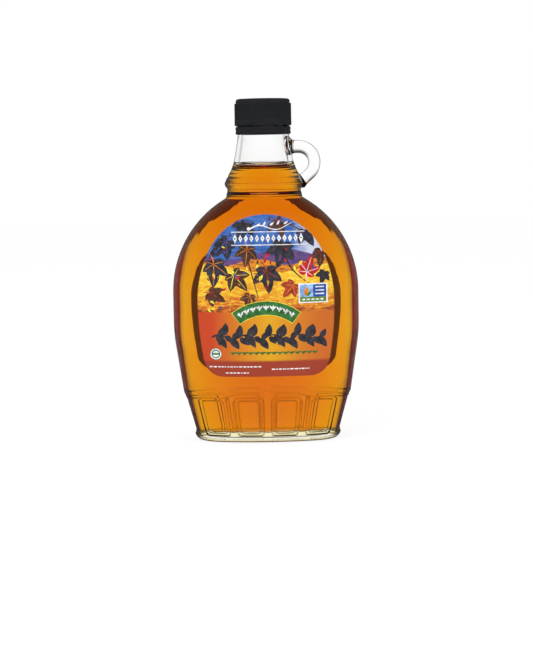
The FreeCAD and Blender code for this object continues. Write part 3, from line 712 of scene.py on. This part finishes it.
def makeFloor():
    s = studio
    half = s["floorHalf"]
    corners = [(-half, -half, 0), (half, -half, 0), (half, half, 0), (-half, half, 0)]
    mesh = bpy.data.meshes.new("floor")
    mesh.from_pydata(corners, [], [(0, 1, 2, 3)])
    material, tree, shader = newMaterial("paleFloor")
    fillIn(shader, {"Base Color": s["floorColour"], "Roughness": 0.9, "Specular IOR Level": 0.0})
    # seen straight or through glass it is nearly all glow, in a reflection it is dim
    rays = addNode(tree, "LightPath").outputs
    through = rays["Is Transmission Ray"]
    seen = calc(tree, "MAXIMUM", rays["Is Camera Ray"], through)
    lit = blendLevel(tree, through, 1.0, sideShade(tree, objectPlace(tree)))
    bright = blendLevel(tree, seen, s["floorInGloss"], s["floorGlow"])
    glow = addNode(tree, "Emission", {"Strength": calc(tree, "MULTIPLY", bright, lit)})
    share = blendLevel(tree, seen, rays["Is Glossy Ray"], s["floorShare"])
    mix = addNode(tree, "MixShader", {0: share, 1: shader.outputs[0], 2: glow.outputs[0]})
    fillIn(tree.nodes["Material Output"], {"Surface": mix.outputs[0]})
    floor = newObject("floor", mesh, material)
    floor.location.z = -s["floorDrop"]


def turnTo(place, target):
    return (Vector(target) - Vector(place)).to_track_quat("-Z", "Y")


def makeLampsAndCamera():
    s = studio
    for name, place, energy in s["lamps"]:
        lamp = bpy.data.lights.new(name, "AREA")
        lamp.shape = "SQUARE"
        lamp.size = s["lampSize"]
        lamp.energy = energy
        source = newObject(name, lamp)
        source.location = place
        source.rotation_euler = turnTo(place, s["lampAim"]).to_euler()
        source.visible_glossy = False
        source.visible_transmission = False
    camera = bpy.data.cameras.new("camera")
    camera.sensor_fit = "HORIZONTAL"
    camera.sensor_width = 36
    camera.lens = s["lens"]
    viewer = newObject("camera", camera)
    viewer.location = s["eye"]
    roll = Matrix.Rotation(radians(-s["roll"]), 4, "Z")
    viewer.rotation_euler = (turnTo(s["eye"], s["aim"]).to_matrix().to_4x4() @ roll).to_euler()
    scene.camera = viewer
    scene.view_settings.view_transform = "Standard"


makeWorld()
makeFloor()
makeLampsAndCamera()
print("studio ready")

glass = newObject("glassFlask", makeFlask())
joinSolids(glass, newObject("ringHandle", makeHandle()))
easeJoint(glass.data)
shadeMesh(glass.data)
glass.data.materials.clear()
glass.data.materials.append(makeGlass())
paintShadeAndGlow(glass.data)
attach(glass, "root")
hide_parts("glass")
print("flask made:", len(glass.data.polygons), "faces")

syrup = {
    "level": 142.4, "contact": 146.3, "intoWall": 0.05, "columns": 57,
    # thin film left on the wall, then the surface's hollow edge: height, distance from the wall
    "edge": ((146.1, 0.1), (145.6, 0.12), (145.1, 0.15), (144.75, 0.2), (144.5, 0.34),
             (144.2, 0.6), (143.8, 1.05), (143.4, 1.6), (143.05, 2.3), (142.75, 3.3),
             (142.55, 4.6), (142.43, 6.2)),
    "surface": (6.0, 3.0, 0.8),
}


def makeSyrup():
    s = syrup
    fractions = np.linspace(0, 1, s["columns"])
    rows = cavityRows(fractions, s["intoWall"], s["contact"])
    heights = [row[0, 2] for row in rows]
    radii = [-row[0, 1] - s["intoWall"] for row in rows]
    rings = [(float(np.interp(height, heights, radii)) - gap, height) for height, gap in s["edge"]]
    rings += [(radius, s["level"]) for radius in s["surface"]]
    return tubeMesh("mapleSyrup", rows + roundRows(rings, fractions))


fill = newObject("amberSyrup", makeSyrup(), clearLook("amberSyrup", syrupFinish)[0])
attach(fill, "root")
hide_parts("syrup")
print("syrup filled")

# screw cap with its tamper band
cap = {
    "top": 179.7, "dish": 0.12, "dishRadius": 12.6, "crown": 14.25, "crownRound": 1.3,
    "knurlTop": 177.3, "knurlBottom": 168.6, "knurlRadius": 14.95, "knurlDepth": 0.35,
    "knurls": 90, "pointsPerKnurl": 6,
    "skirt": 15.0, "skirtBottom": 165.7,
    "bore": 13.45, "boreMiddle": 172.0, "mouth": 178.42,
    "band": (14.6, 14.38),  # crest and waist
    "bandTop": 165.1, "bandBottom": 161.1, "bandBore": 13.8, "bandLip": 13.65,
    "bandColumns": 240, "chamfer": 0.12,
    "bridges": 12, "bridgeWidth": 0.9, "bridgeRadius": 14.1, "bridgeDepth": 0.5,
    "bridgeRound": 0.12,
    "colours": ((0.0085, 0.0095, 0.012, 1), (0.016, 0.0175, 0.021, 1)),
    "roughness": (0.36, 0.5),
}


def turnedRows(outline, columns, wave=0.0):
    # rows round the middle, each with its radius, its height and its share of the wave
    angles = np.arange(columns) * 2 * pi / columns
    return [np.column_stack([(radius + wave * share) * np.cos(angles),
                             (radius + wave * share) * np.sin(angles), np.full(columns, height)])
            for radius, height, share in outline]


def makeCapShell():
    c = cap
    columns = c["knurls"] * c["pointsPerKnurl"]
    phase = (np.arange(columns) % c["pointsPerKnurl"]) / c["pointsPerKnurl"]
    wave = -c["knurlDepth"] * (0.5 - 0.5 * np.cos(2 * pi * phase)) ** 0.8
    outline = [(r, c["top"] - c["dish"] * (1 - (r / c["dishRadius"]) ** 8), 0)
               for r in (2, 6, 10, 12.0)] + [(12.8, c["top"], 0)]
    for angle in np.radians(np.arange(0, 91, 15)):
        outline.append((c["crown"] - c["crownRound"] * (1 - sin(angle)),
                        c["top"] - c["crownRound"] * (1 - cos(angle)), 0))
    crown, knurl, skirt, bore = c["crown"], c["knurlRadius"], c["skirt"], c["bore"]
    high, low, end, mouth = c["knurlTop"], c["knurlBottom"], c["skirtBottom"], c["mouth"]
    outline += [(crown, high + 0.25, 0), (crown + 0.12, high + 0.05, 0),
                (knurl - 0.12, high - 0.02, 0.3), (knurl, high - 0.3, 1)]
    outline += [(knurl, z, 1) for z in np.linspace(high - 0.7, low + 0.5, 5)]
    outline += [(knurl, low + 0.15, 0.8), (knurl + 0.02, low, 0.1), (skirt, low - 0.2, 0),
                (skirt, low - 1.2, 0), (skirt, end + 0.3, 0), (skirt - 0.08, end + 0.08, 0),
                (skirt - 0.3, end, 0), (bore + 0.2, end, 0), (bore, end + 0.2, 0),
                (bore, c["boreMiddle"], 0), (bore, mouth - 0.2, 0), (bore - 0.2, mouth, 0),
                (6.0, mouth, 0), (1.0, mouth, 0)]
    # rows run from the top down, so they are turned over to face outwards
    return tubeMesh("screwCap", turnedRows(outline, columns, wave)[::-1])


def makeTamperBand():
    c = cap
    (crest, waist), bore, edge = c["band"], c["bandBore"], c["chamfer"]
    low, high = c["bandBottom"], c["bandTop"]
    middle = (low + high) / 2
    profile = [(bore, low + 0.7), (c["bandLip"], low + edge), (bore, low),
               (waist - edge, low), (waist, low + edge)]
    for z in np.linspace(low + 0.25, high - 0.25, 17):
        swell = 0.5 - 0.5 * cos(2 * pi * (z - low) / (middle - low))
        profile.append((waist + (crest - waist) * swell ** 0.7, z))
    profile += [(waist, high - edge), (waist - edge, high), (bore + edge, high),
                (bore, high - edge)]
    rows = turnedRows([(radius, z, 0) for radius, z in profile], c["bandColumns"])
    verts = np.vstack(rows)
    faces = [tuple(v % len(verts) for v in face)
             for face in gridFaces(len(rows) + 1, c["bandColumns"])]
    return makeMesh("tamperBand", verts, faces)


def makeCap():
    c = cap
    shell = makeCapShell()
    whole = bmesh.new()
    middle = (c["bandTop"] + c["skirtBottom"]) / 2
    for number in range(c["bridges"]):
        turn = 2 * pi * (number + 0.5) / c["bridges"]
        for vert in bmesh.ops.create_cube(whole, size=1.0)["verts"]:
            out = c["bridgeRadius"] + vert.co.x * c["bridgeDepth"]
            side = vert.co.y * c["bridgeWidth"]
            vert.co = Vector((out * cos(turn) - side * sin(turn),
                              out * sin(turn) + side * cos(turn),
                              middle + vert.co.z)) * 0.001
    bmesh.ops.bevel(whole, geom=whole.edges[:], offset=c["bridgeRound"] * 0.001, segments=2,
                    affect="EDGES")
    for mesh in (shell, makeTamperBand()):
        whole.from_mesh(mesh)
    whole.to_mesh(shell)
    whole.free()
    shadeMesh(shell)
    return shell


def makePlastic():
    material, tree, shader = newMaterial("blackPlastic")
    place = objectPlace(tree)
    grain = noiseOf(tree, place, 1400, 3.0)
    fillIn(shader, {"Specular IOR Level": 0.5,
                    "Base Color": blend(tree, noiseOf(tree, place, 90), *cap["colours"]),
                    "Roughness": ranged(tree, grain, 0.0, 1.0, *cap["roughness"]),
                    "Normal": bumpFrom(tree, grain, 0.12, 0.0001)})
    return material


closure = newObject("screwCap", makeCap(), makePlastic())
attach(closure, "root")
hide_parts("cap")
print("cap made")

# paper labels
label = {
    "bottom": 35.3, "top": 119.6, "frontHalf": 35.8, "backTop": 110.6, "backHalf": 34.6,
    "waist": 74.0, "sideArc": 60.0, "lowerArc": 160.0, "corner": 8.0,
    "thickness": 0.085, "tuck": 0.02, "columns": 64,
    "margin": (0.5, 0.6),  # bare paper kept beside and above the print
    "fibreScale": 2600,
    "backing": ((0.62, 0.50, 0.46, 1), (0.72, 0.60, 0.55, 1)),
    "backingGlow": (1.0, 0.8, 0.75, 1), "backingLevel": 0.085,
    "footLine": 43.5,  # where the maroon foot ends
    "pictureLine": 68.9,
    "sky": ("#24509c", "#4f7cc2"), "cloud": "#c3c8dc", "cloudSide": 6.5,
    "warm": ("#dba012", "#c4421a", "#c97a1e"),  # middle, sides, far right
    "maroon": ("#96361f", "#a6402a"),
    "backWarm": ("#cf9420", "#dda83a"), "backMaroon": ("#94351f", "#a2402a"),
    "rule": "#e9dfc8", "ruleSpan": (43.6, 44.3), "ruleEdge": 0.15,
    # far hills and golden fields, each before the last: height, swell, pitch, phase, tones, balance
    "hills": ((99.0, 2.6, 0.11, 0.6, "#4a3f78", "#6d4a7e", 0.5),
              (95.0, 1.8, 0.19, 2.4, "#9a4a24", "#d98a1c", 0.47),
              (91.5, 2.2, 0.09, 4.4, "#e8b11c", "#f2d24a", 0.54),
              (84.0, 2.4, 0.13, 1.2, "#d98f16", "#f0c636", 0.5),
              (77.0, 1.6, 0.16, 3.3, "#c8641c", "#eab32a", 0.52),
              (71.5, 1.2, 0.22, 5.1, "#8c3a20", "#cf7420", 0.5)),
}


def labelShape(half, top):
    # crown arc that meets the two side arcs smoothly
    arc, waist = label["sideArc"], label["waist"]
    rise, offset = top - waist, arc - half
    crown = (arc ** 2 - offset ** 2 - rise ** 2) / (2 * (arc - rise))
    crownZ = top - crown
    meetZ = waist + (crownZ - waist) / hypot(offset, crownZ - waist) * arc
    return {"half": half, "top": top, "crown": crown, "crownZ": crownZ, "meetZ": meetZ}


frontShape = labelShape(label["frontHalf"], label["top"])
backShape = labelShape(label["backHalf"], label["backTop"])


def labelHalfWidth(shape, z):
    l = label
    if z >= shape["meetZ"]:
        return sqrt(max(shape["crown"] ** 2 - (z - shape["crownZ"]) ** 2, 0.0))
    arc = l["sideArc"] if z >= l["waist"] else l["lowerArc"]
    width = shape["half"] - arc + sqrt(arc ** 2 - (z - l["waist"]) ** 2)
    low = l["bottom"] + l["corner"] - z
    if low > 0:
        width -= l["corner"] - sqrt(max(l["corner"] ** 2 - low ** 2, 0.0))
    return width


def labelLevels(shape):
    corner, meetZ = label["corner"], shape["meetZ"]
    levels = [label["bottom"] + corner * (1 - cos(radians(a))) for a in range(0, 91, 9)]
    levels += list(np.linspace(levels[-1], meetZ, 28)[1:])
    first = asin((meetZ - shape["crownZ"]) / shape["crown"])
    return levels + [shape["crownZ"] + shape["crown"] * sin(a)
                     for a in np.linspace(first, pi / 2, 28)[1:]]


def slabFaces(rowCount, columnCount):
    # two like grids of points, one behind the other: faces of both by turns, then the border
    total = rowCount * columnCount
    faces = []
    for row in range(rowCount - 1):
        for column in range(columnCount - 1):
            a = row * columnCount + column
            quad = (a, a + 1, a + 1 + columnCount, a + columnCount)
            faces += [quad, tuple(total + v for v in quad[::-1])]
    across, starts = range(columnCount - 1), [row * columnCount for row in range(rowCount)]
    border = [*across, *(columnCount - 1 + v for v in starts[:-1])]
    border += [*(total - 1 - k for k in across), *starts[:0:-1]]
    return faces + [(there, here, here + total, there + total)
                    for here, there in zip(border, border[1:] + border[:1])]


def makeLabel(name, shape, facing):
    # a thin closed skin: printed outside, bare paper inside
    l = label
    levels = labelLevels(shape)
    columns = l["columns"]
    places = []
    for z in levels:
        width = max(labelHalfWidth(shape, min(z, shape["top"] - 0.0005)), 0.02)
        places += [(width * (2 * k / columns - 1), z) for k in range(columns + 1)]
    verts = [(x, facing * faceY(x, z, lift), z)
             for lift in (l["thickness"], -l["tuck"]) for x, z in places]
    faces = slabFaces(len(levels), columns + 1)
    if facing > 0:
        faces = [face[::-1] for face in faces]
    mesh = makeMesh(name, verts, faces)
    cells = (len(levels) - 1) * columns
    mesh.polygons.foreach_set("material_index", [0, 1] * cells + [1] * (len(faces) - 2 * cells))
    return mesh


def paint(hexColour):
    # screen colour to the shader's linear colour
    values = [int(hexColour[k:k + 2], 16) / 255 for k in (1, 3, 5)]
    linear = [v / 12.92 if v <= 0.04045 else ((v + 0.055) / 1.055) ** 2.4 for v in values]
    return (*linear, 1.0)


def paperFinish(tree, shader, colour):
    fibres = noiseOf(tree, objectPlace(tree), label["fibreScale"])
    fillIn(shader, {"Base Color": colour, "Roughness": 0.42, "Specular IOR Level": 0.35,
                    "Normal": bumpFrom(tree, fibres, 0.08, 0.00005)})


def makeBarePaper():
    material, tree, shader = newMaterial("labelBacking")
    fibre = noiseOf(tree, objectPlace(tree), 300, 3.0)
    paperFinish(tree, shader, blend(tree, fibre, *label["backing"]))
    # a little of the light behind comes through the paper
    fillIn(shader, {"Emission Color": label["backingGlow"],
                    "Emission Strength": label["backingLevel"]})
    return material


def millimetres(tree, place, axis):
    return calc(tree, "MULTIPLY", splitPlace(tree, place)[axis], 1000.0)


def makeFrontPrint():
    # sky over far hills and golden fields, then a warm plain ground and a maroon foot
    l = label
    material, tree, shader = newMaterial("frontPrint")

    def plus(first, second):
        return calc(tree, "ADD", first, second)

    def times(first, second):
        return calc(tree, "MULTIPLY", first, second)

    def edge(value, place, width, low, high):
        return blend(tree, edgeAt(tree, value, place, width), low, high)

    place = objectPlace(tree)
    x, z = millimetres(tree, place, "X"), millimetres(tree, place, "Z")
    stretched = addNode(tree, "Mapping", {"Vector": place, "Scale": (1.0, 1.0, 3.2)}).outputs[0]
    strokes = noiseOf(tree, stretched, 260, 4.0, 0.65)
    broad = noiseOf(tree, stretched, 60, 3.0)
    wobble = times(calc(tree, "SUBTRACT", strokes, 0.5), 3.0)

    sky = edge(strokes, 0.52, 0.3, *map(paint, l["sky"]))
    cloudPlace = plus(times(x, 0.35), times(wobble, 1.2))
    picture = edge(cloudPlace, l["cloudSide"], 3.0, sky, paint(l["cloud"]))
    for base, swell, pitch, phase, light, dark, balance in l["hills"]:
        wave = calc(tree, "SINE", plus(times(x, pitch), phase))
        line = plus(plus(times(wave, swell), base), times(wobble, 0.5))
        tone = edge(strokes, balance, 0.16, paint(light), paint(dark))
        picture = edge(calc(tree, "SUBTRACT", line, z), 0.0, 0.5, picture, tone)

    away = calc(tree, "ABSOLUTE", plus(x, -1.5))
    middle, sides, farRight = map(paint, l["warm"])
    warm = edge(away, 15.0, 30.0, middle, sides)
    warm = edge(x, 30.0, 40.0, warm, farRight)
    maroon = blend(tree, broad, *map(paint, l["maroon"]))
    ground = edge(z, l["footLine"], 1.2, maroon, warm)
    paperFinish(tree, shader, edge(z, l["pictureLine"], 0.5, ground, picture))
    return material


def makeBackPrint():
    # plain warm ground over a maroon foot, with one pale rule between
    l = label
    material, tree, shader = newMaterial("backPrint")
    place = objectPlace(tree)
    z = millimetres(tree, place, "Z")
    fibre = noiseOf(tree, place, 160, 3.0)
    warm = blend(tree, fibre, *map(paint, l["backWarm"]))
    maroon = blend(tree, fibre, *map(paint, l["backMaroon"]))
    low, high = l["ruleSpan"]
    below = edgeAt(tree, calc(tree, "MULTIPLY", z, -1.0), -high, l["ruleEdge"])
    rule = calc(tree, "MULTIPLY", edgeAt(tree, z, low, l["ruleEdge"]), below)
    ground = blend(tree, edgeAt(tree, z, l["footLine"], 0.3), maroon, warm)
    paperFinish(tree, shader, blend(tree, rule, ground, paint(l["rule"])))
    return material


front = newObject("labelFront", makeLabel("labelFront", frontShape, -1), makeFrontPrint(),
                  makeBarePaper())
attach(front, "root")
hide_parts("label_front")

back = newObject("labelBack", makeLabel("labelBack", backShape, 1), makeBackPrint(),
                 makeBarePaper())
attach(back, "root")
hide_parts("label_back")
print("labels made")

# printed ornament: raised films of ink, laid on the front label
inks = {
    "slate": "#2b2d36", "umber": "#4a2f22", "russet": "#9c3018", "crimson": "#b3161c",
    "orange": "#dd7a18", "gold": "#f2cf3c", "green": "#2d6a30", "moss": "#5a7a2c",
    "white": "#e8e6ea", "violet": "#4b3a78", "blue": "#1f4a9a", "paleBlue": "#7fa6d8",
}
film = {"base": 0.004, "step": 0.007, "sink": 0.02}
filmVerts, filmFaces, filmSlots = [], [], []


def layPatch(ink, rows, layer=0):
    # rows of (x, z) places, laid on the label as a closed film
    rows = np.asarray(rows, float)
    rowCount, columnCount, _ = rows.shape
    start = len(filmVerts)
    lift = label["thickness"] + film["base"] + film["step"] * layer
    for raised in (lift, label["thickness"] - film["sink"]):
        filmVerts.extend((x, -faceY(x, z, raised), z) for x, z in rows.reshape(-1, 2))
    made = slabFaces(rowCount, columnCount)
    # a patch drawn the other way round is turned over
    edgeA, edgeB = rows[0, -1] - rows[0, 0], rows[-1, 0] - rows[0, 0]
    way = -1 if edgeA[0] * edgeB[1] - edgeA[1] * edgeB[0] < 0 else 1
    filmFaces.extend(tuple(start + v for v in face[::way]) for face in made)
    filmSlots.extend([list(inks).index(ink)] * len(made))


def onLabel(x, z):
    beside, above = label["margin"]
    return z < label["top"] - above and abs(x) < labelHalfWidth(frontShape, z) - beside


def placeAt(x, z, distance, degrees):
    turn = radians(degrees)
    return x + distance * cos(turn), z + distance * sin(turn)


def layLeaf(ink, x, z, length, width, turn, bend=0.0, rib=None, layer=0):
    # a pointed leaf from its stalk end, with a paler or darker rib
    # it is made smaller until it lies inside the label
    for _ in range(7):
        if all(onLabel(*placeAt(x, z, length * share, turn + off))
               for share, off in ((1, 0), (0.6, 22), (0.6, -22))):
            break
        length, width = length * 0.84, width * 0.87
    count = max(6, int(length / 1.2))
    blade, vein = [], []
    for k in range(count + 1):
        t = k / count
        along = radians(turn) + radians(bend) * (t - 0.5)
        right, up = sin(along), cos(along)
        half = 0.02
        if 0 < k < count:
            half = max(width / 2 * sin(pi * t ** 0.8) ** 0.85, half)
        thin = min(0.035 * width * (1 - 0.8 * t) + 0.03, half * 0.8)
        blade.append([(x + right * half * a, z - up * half * a) for a in (-1.0, -0.4, 0.4, 1.0)])
        vein.append([(x + right * thin * a, z - up * thin * a) for a in (-1, 1)])
        x += up * length / count
        z += right * length / count
    layPatch(ink, blade, layer)
    if rib:
        layPatch(rib, vein[:-1], layer + 1)


def layStroke(ink, places, width, layer=0):
    # a stroke along places, tapering to its end
    places = np.array([place for place in places if onLabel(*place)], float)
    if len(places) < 3:
        return
    rows = []
    for k, (x, z) in enumerate(places):
        ahead = places[min(k + 1, len(places) - 1)] - places[max(k - 1, 0)]
        ahead = ahead / max(np.hypot(*ahead), 1e-6)
        half = width / 2 * (1 - 0.55 * k / (len(places) - 1))
        rows.append([(x + ahead[1] * half * a, z - ahead[0] * half * a) for a in (-1, 1)])
    layPatch(ink, rows, layer)


def layLobed(ink, x, z, size, turn, rib):
    # a broad leaf of five pointed lobes on a short stalk
    for off, share in ((-104, 0.5), (104, 0.5), (-52, 0.8), (52, 0.8), (0, 1.0)):
        width = size * 0.30 * (0.6 + 0.4 * share)
        layLeaf(ink, x, z, size * share * 0.62, width, turn + off, 10 if off < 0 else -10, rib)
    for off in (-27, 27):
        layLeaf(ink, x, z, size * 0.34, size * 0.24, turn + off)
    back = radians(turn + 180)
    stalk = [(x + cos(back + 0.1 * k) * size * 0.08 * k,
              z + sin(back + 0.1 * k) * size * 0.08 * k) for k in range(5)]
    layStroke(rib, stalk, size * 0.04)


def layFan(ink, x, z, inner, outer, low, high, rings, points, layer):
    # a part of a ring, or all of it, from one bearing back to another
    turns = np.radians(np.linspace(high, low, points))
    layPatch(ink, [[(x + r * cos(a), z + r * sin(a)) for a in turns]
                   for r in np.linspace(inner, outer, rings)], layer)


def layDisc(ink, x, z, radius, layer, inner=0.02):
    layFan(ink, x, z, radius, inner, 360, 0, 2, 25, layer)


def layBox(ink, left, low, right, high, layer):
    across = np.linspace(left, right, max(2, int((right - left) / 1.5) + 1))
    levels = np.linspace(low, high, max(2, int((high - low) / 3) + 1))
    layPatch(ink, [[(x, z) for x in across] for z in levels], layer)


def drawPicture():
    # big dark sprays against the sky, bright leaves drifting over the fields
    for ink, x, z, size, turn, rib in (
        ("slate", -10.5, 115.5, 17, 250, "umber"), ("umber", 6.5, 117.0, 16, 285, "russet"),
        ("slate", 20.5, 110.5, 15, 300, "violet"), ("slate", -20.5, 105.5, 19, 222, "violet"),
        ("umber", -9.5, 101.5, 15, 262, "orange"), ("slate", 9.0, 103.0, 19, 255, "umber"),
        ("umber", 29.0, 99.5, 13, 262, "russet"), ("crimson", 21.5, 89.5, 15, 70, "white"),
        ("slate", -27.0, 94.0, 20, 268, "orange"), ("umber", -16.5, 88.0, 17, 310, "gold"),
        ("slate", 0.5, 90.0, 19, 275, "russet"), ("russet", 14.0, 82.5, 13, 228, "orange"),
        ("umber", -28.5, 78.5, 14, 330, "russet"), ("umber", -8.5, 77.0, 11, 250, "orange"),
        ("slate", 30.5, 88.5, 10, 250, "umber"),
    ):
        layLobed(ink, x, z, size, turn, rib)
    # twigs: start, then the first and second steps of x and z
    for ink, x, z, dx, dz, ddx, ddz, count, width in (
        ("slate", -30.5, 104.5, 2.1, 0.9, 0, -0.028, 17, 1.1),
        ("umber", 3.5, 117.5, 1.7, -0.5, 0, -0.022, 15, 1.0),
        ("umber", -9.5, 97.5, 0.5, -1.9, 0, 0, 12, 0.9),
        ("slate", 10.5, 99.5, 0, -1.6, 0.12, 0, 12, 1.0),
    ):
        layStroke(ink, [(x + dx * k + ddx * k * k, z + dz * k + ddz * k * k)
                        for k in range(count)], width)
    random = np.random.default_rng(11)
    palette = ("orange", "gold", "russet", "crimson", "umber", "violet")
    for k in range(64):
        z = 70.5 + 36 * random.random() ** 1.3
        reach = 0.93 * labelHalfWidth(frontShape, z)
        x = random.uniform(-reach, reach)
        size = random.uniform(1.6, 3.6)
        layLeaf(palette[k % 6], x, z, size, size * 0.42, random.uniform(0, 360),
                random.uniform(-40, 40), None, 2)


header = {
    "rules": (103.6, 110.4), "ruleEnds": (-17.5, 20.5), "ruleHeight": 0.42,
    "lozenges": 13, "firstLozenge": -15.6, "pitch": 2.86, "middle": 107.2,
}


def drawHeader():
    # white rules and lozenges, a flourish above
    h = header
    left, right = h["ruleEnds"]
    for low in h["rules"]:
        layBox("white", left, low, right, low + h["ruleHeight"], 4)
    middle = h["middle"]
    for k in range(h["lozenges"]):
        x = h["firstLozenge"] + h["pitch"] * k
        tall, eye = (2.6, 0.42) if k % 6 == 0 else (1.9, 0.3)
        layPatch("white", [[(x - half, middle + tall * a), (x + half, middle + tall * a)]
                           for a, half in ((-1, 0.02), (0, 1.05), (1, 0.02))], 4)
        layDisc("slate", x, middle, eye, 5)
    flourish = [(-8.0 + 1.15 * k, 112.0 + 1.5 * sin(k * 0.38) + 0.10 * k) for k in range(20)]
    layStroke("white", flourish, 0.75, 4)
    layDisc("white", -8.4, 112.2, 0.9, 4)
    for k in range(5):
        turn = 62 if k % 2 else 40
        layLeaf("white", -4.6 + 3.6 * k, 113.4 + 0.25 * k, 2.8, 1.0, turn, 20, None, 4)


banner = {
    "centre": (0.0, 45.6), "radii": (22.0, 28.9), "reach": 38.0,  # reach either way, in degrees
    "hem": 0.3, "hemReach": 0.4,
    "sprigs": 9, "sprigRadius": 25.4, "sprigPitch": 7.6,
}


def drawBanner():
    b = banner
    (x, z), (inner, outer) = b["centre"], b["radii"]
    for ink, hem, reach, layer in (("gold", b["hem"], b["reach"] + b["hemReach"], 3),
                                   ("green", 0.0, b["reach"], 4)):
        layFan(ink, x, z, inner - hem, outer + hem, 90 - reach, 90 + reach, 5, 30, layer)
    for k in range(b["sprigs"]):
        turn = 90 + (k - b["sprigs"] // 2) * b["sprigPitch"]
        sprigX, sprigZ = placeAt(x, z, b["sprigRadius"], turn)
        for side in (-1, 1):
            layLeaf("white", sprigX, sprigZ - 0.3, 2.3, 0.95, turn + side * 46, layer=5)
        layLeaf("white", sprigX, sprigZ - 1.3, 3.1, 0.9, turn, layer=5)


def drawGarland():
    # a dark garland of leaves across the warm ground
    stem = [(-28.5 + 0.95 * k, 56.0 + 1.1 * sin(k * 0.42)) for k in range(61)]
    layStroke("slate", stem, 1.0, 1)
    for k in range(2, 60, 4):
        x, z = stem[k]
        way = 1 if (k // 4) % 2 else -1
        tall = 9.0 if k % 16 == 2 else 7.2
        layLeaf("slate", x, z, tall, 3.9, way * 66 + 14, 30 * way, "umber", 1)
        layLeaf("slate", x + 1.2, z, tall * 0.74, 3.1, -way * 52 + 4, -30 * way, "umber", 1)
    for x in (-24.5, -9.5, 6.5, 22.0):
        layDisc("slate", x, 52.6, 0.85, 1)
    # small green sprigs under it
    for k in range(15):
        for z, length, width, turn in ((47.3, 2.0, 1.0, 28), (47.3, 1.7, 0.85, 152),
                                       (46.4, 2.1, 0.7, 90)):
            layLeaf("green", -17.6 + 3.05 * k, z, length, width, turn, layer=1)


def drawSealAndStamp():
    for ink, radius, layer, inner in (("green", 3.15, 1, 0.02), ("white", 2.85, 2, 0.02),
                                      ("green", 2.3, 3, 1.75)):
        layDisc(ink, -26.6, 47.2, radius, layer, inner)
    for ink, left, low, right, high, layer in (
        ("green", -28.3, 46.75, -24.9, 47.65, 3), ("white", 17.0, 73.2, 32.2, 83.4, 4),
        ("paleBlue", 17.7, 76.4, 24.6, 82.8, 5), ("blue", 24.6, 76.4, 31.5, 82.8, 5),
        ("moss", 17.7, 73.8, 31.5, 76.4, 5),
    ):
        layBox(ink, left, low, right, high, layer)
    layLeaf("orange", 20.4, 76.9, 5.2, 2.4, 78, 15, "green", 6)
    layLeaf("green", 21.0, 76.8, 3.6, 1.5, 45, 15, None, 6)
    for k in range(3):
        layBox("white", 25.8, 77.6 + 1.8 * k, 30.4, 78.2 + 1.8 * k, 6)
    for k in range(5):
        layBox("white", 18.9 + 2.4 * k, 74.7, 20.4 + 2.4 * k, 75.4, 6)


def drawPaleRows():
    # broken pale rows on the foot of the label
    random = np.random.default_rng(5)
    for low, left, right in ((40.2, -30.0, -3.0), (37.0, -21.5, -9.5), (38.8, 2.5, 22.0)):
        x = left
        while x < right:
            wide = random.uniform(0.7, 1.9)
            layBox("white", x, low, min(x + wide, right), low + 0.62, 1)
            x += wide + 0.55


def makeInk(name):
    material, tree, shader = newMaterial("ink-" + name)
    mottle = edgeAt(tree, noiseOf(tree, objectPlace(tree), 420, 4.0, 0.6), 0.5, 0.35)
    tone = paint(inks[name])[:3]
    darker = (*(value * 0.7 for value in tone), 1.0)
    lighter = (*(min(value * 1.5 + 0.012, 1.0) for value in tone), 1.0)
    paperFinish(tree, shader, blend(tree, mottle, darker, lighter))
    return material


for draw in (drawPicture, drawHeader, drawBanner, drawGarland, drawSealAndStamp, drawPaleRows):
    draw()
printing = newObject("frontPrintInk", makeMesh("frontPrintInk", filmVerts, filmFaces, False),
                     *(makeInk(name) for name in inks))
printing.data.polygons.foreach_set("material_index", filmSlots)
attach(printing, "root")
print("print laid:", len(filmFaces), "faces")
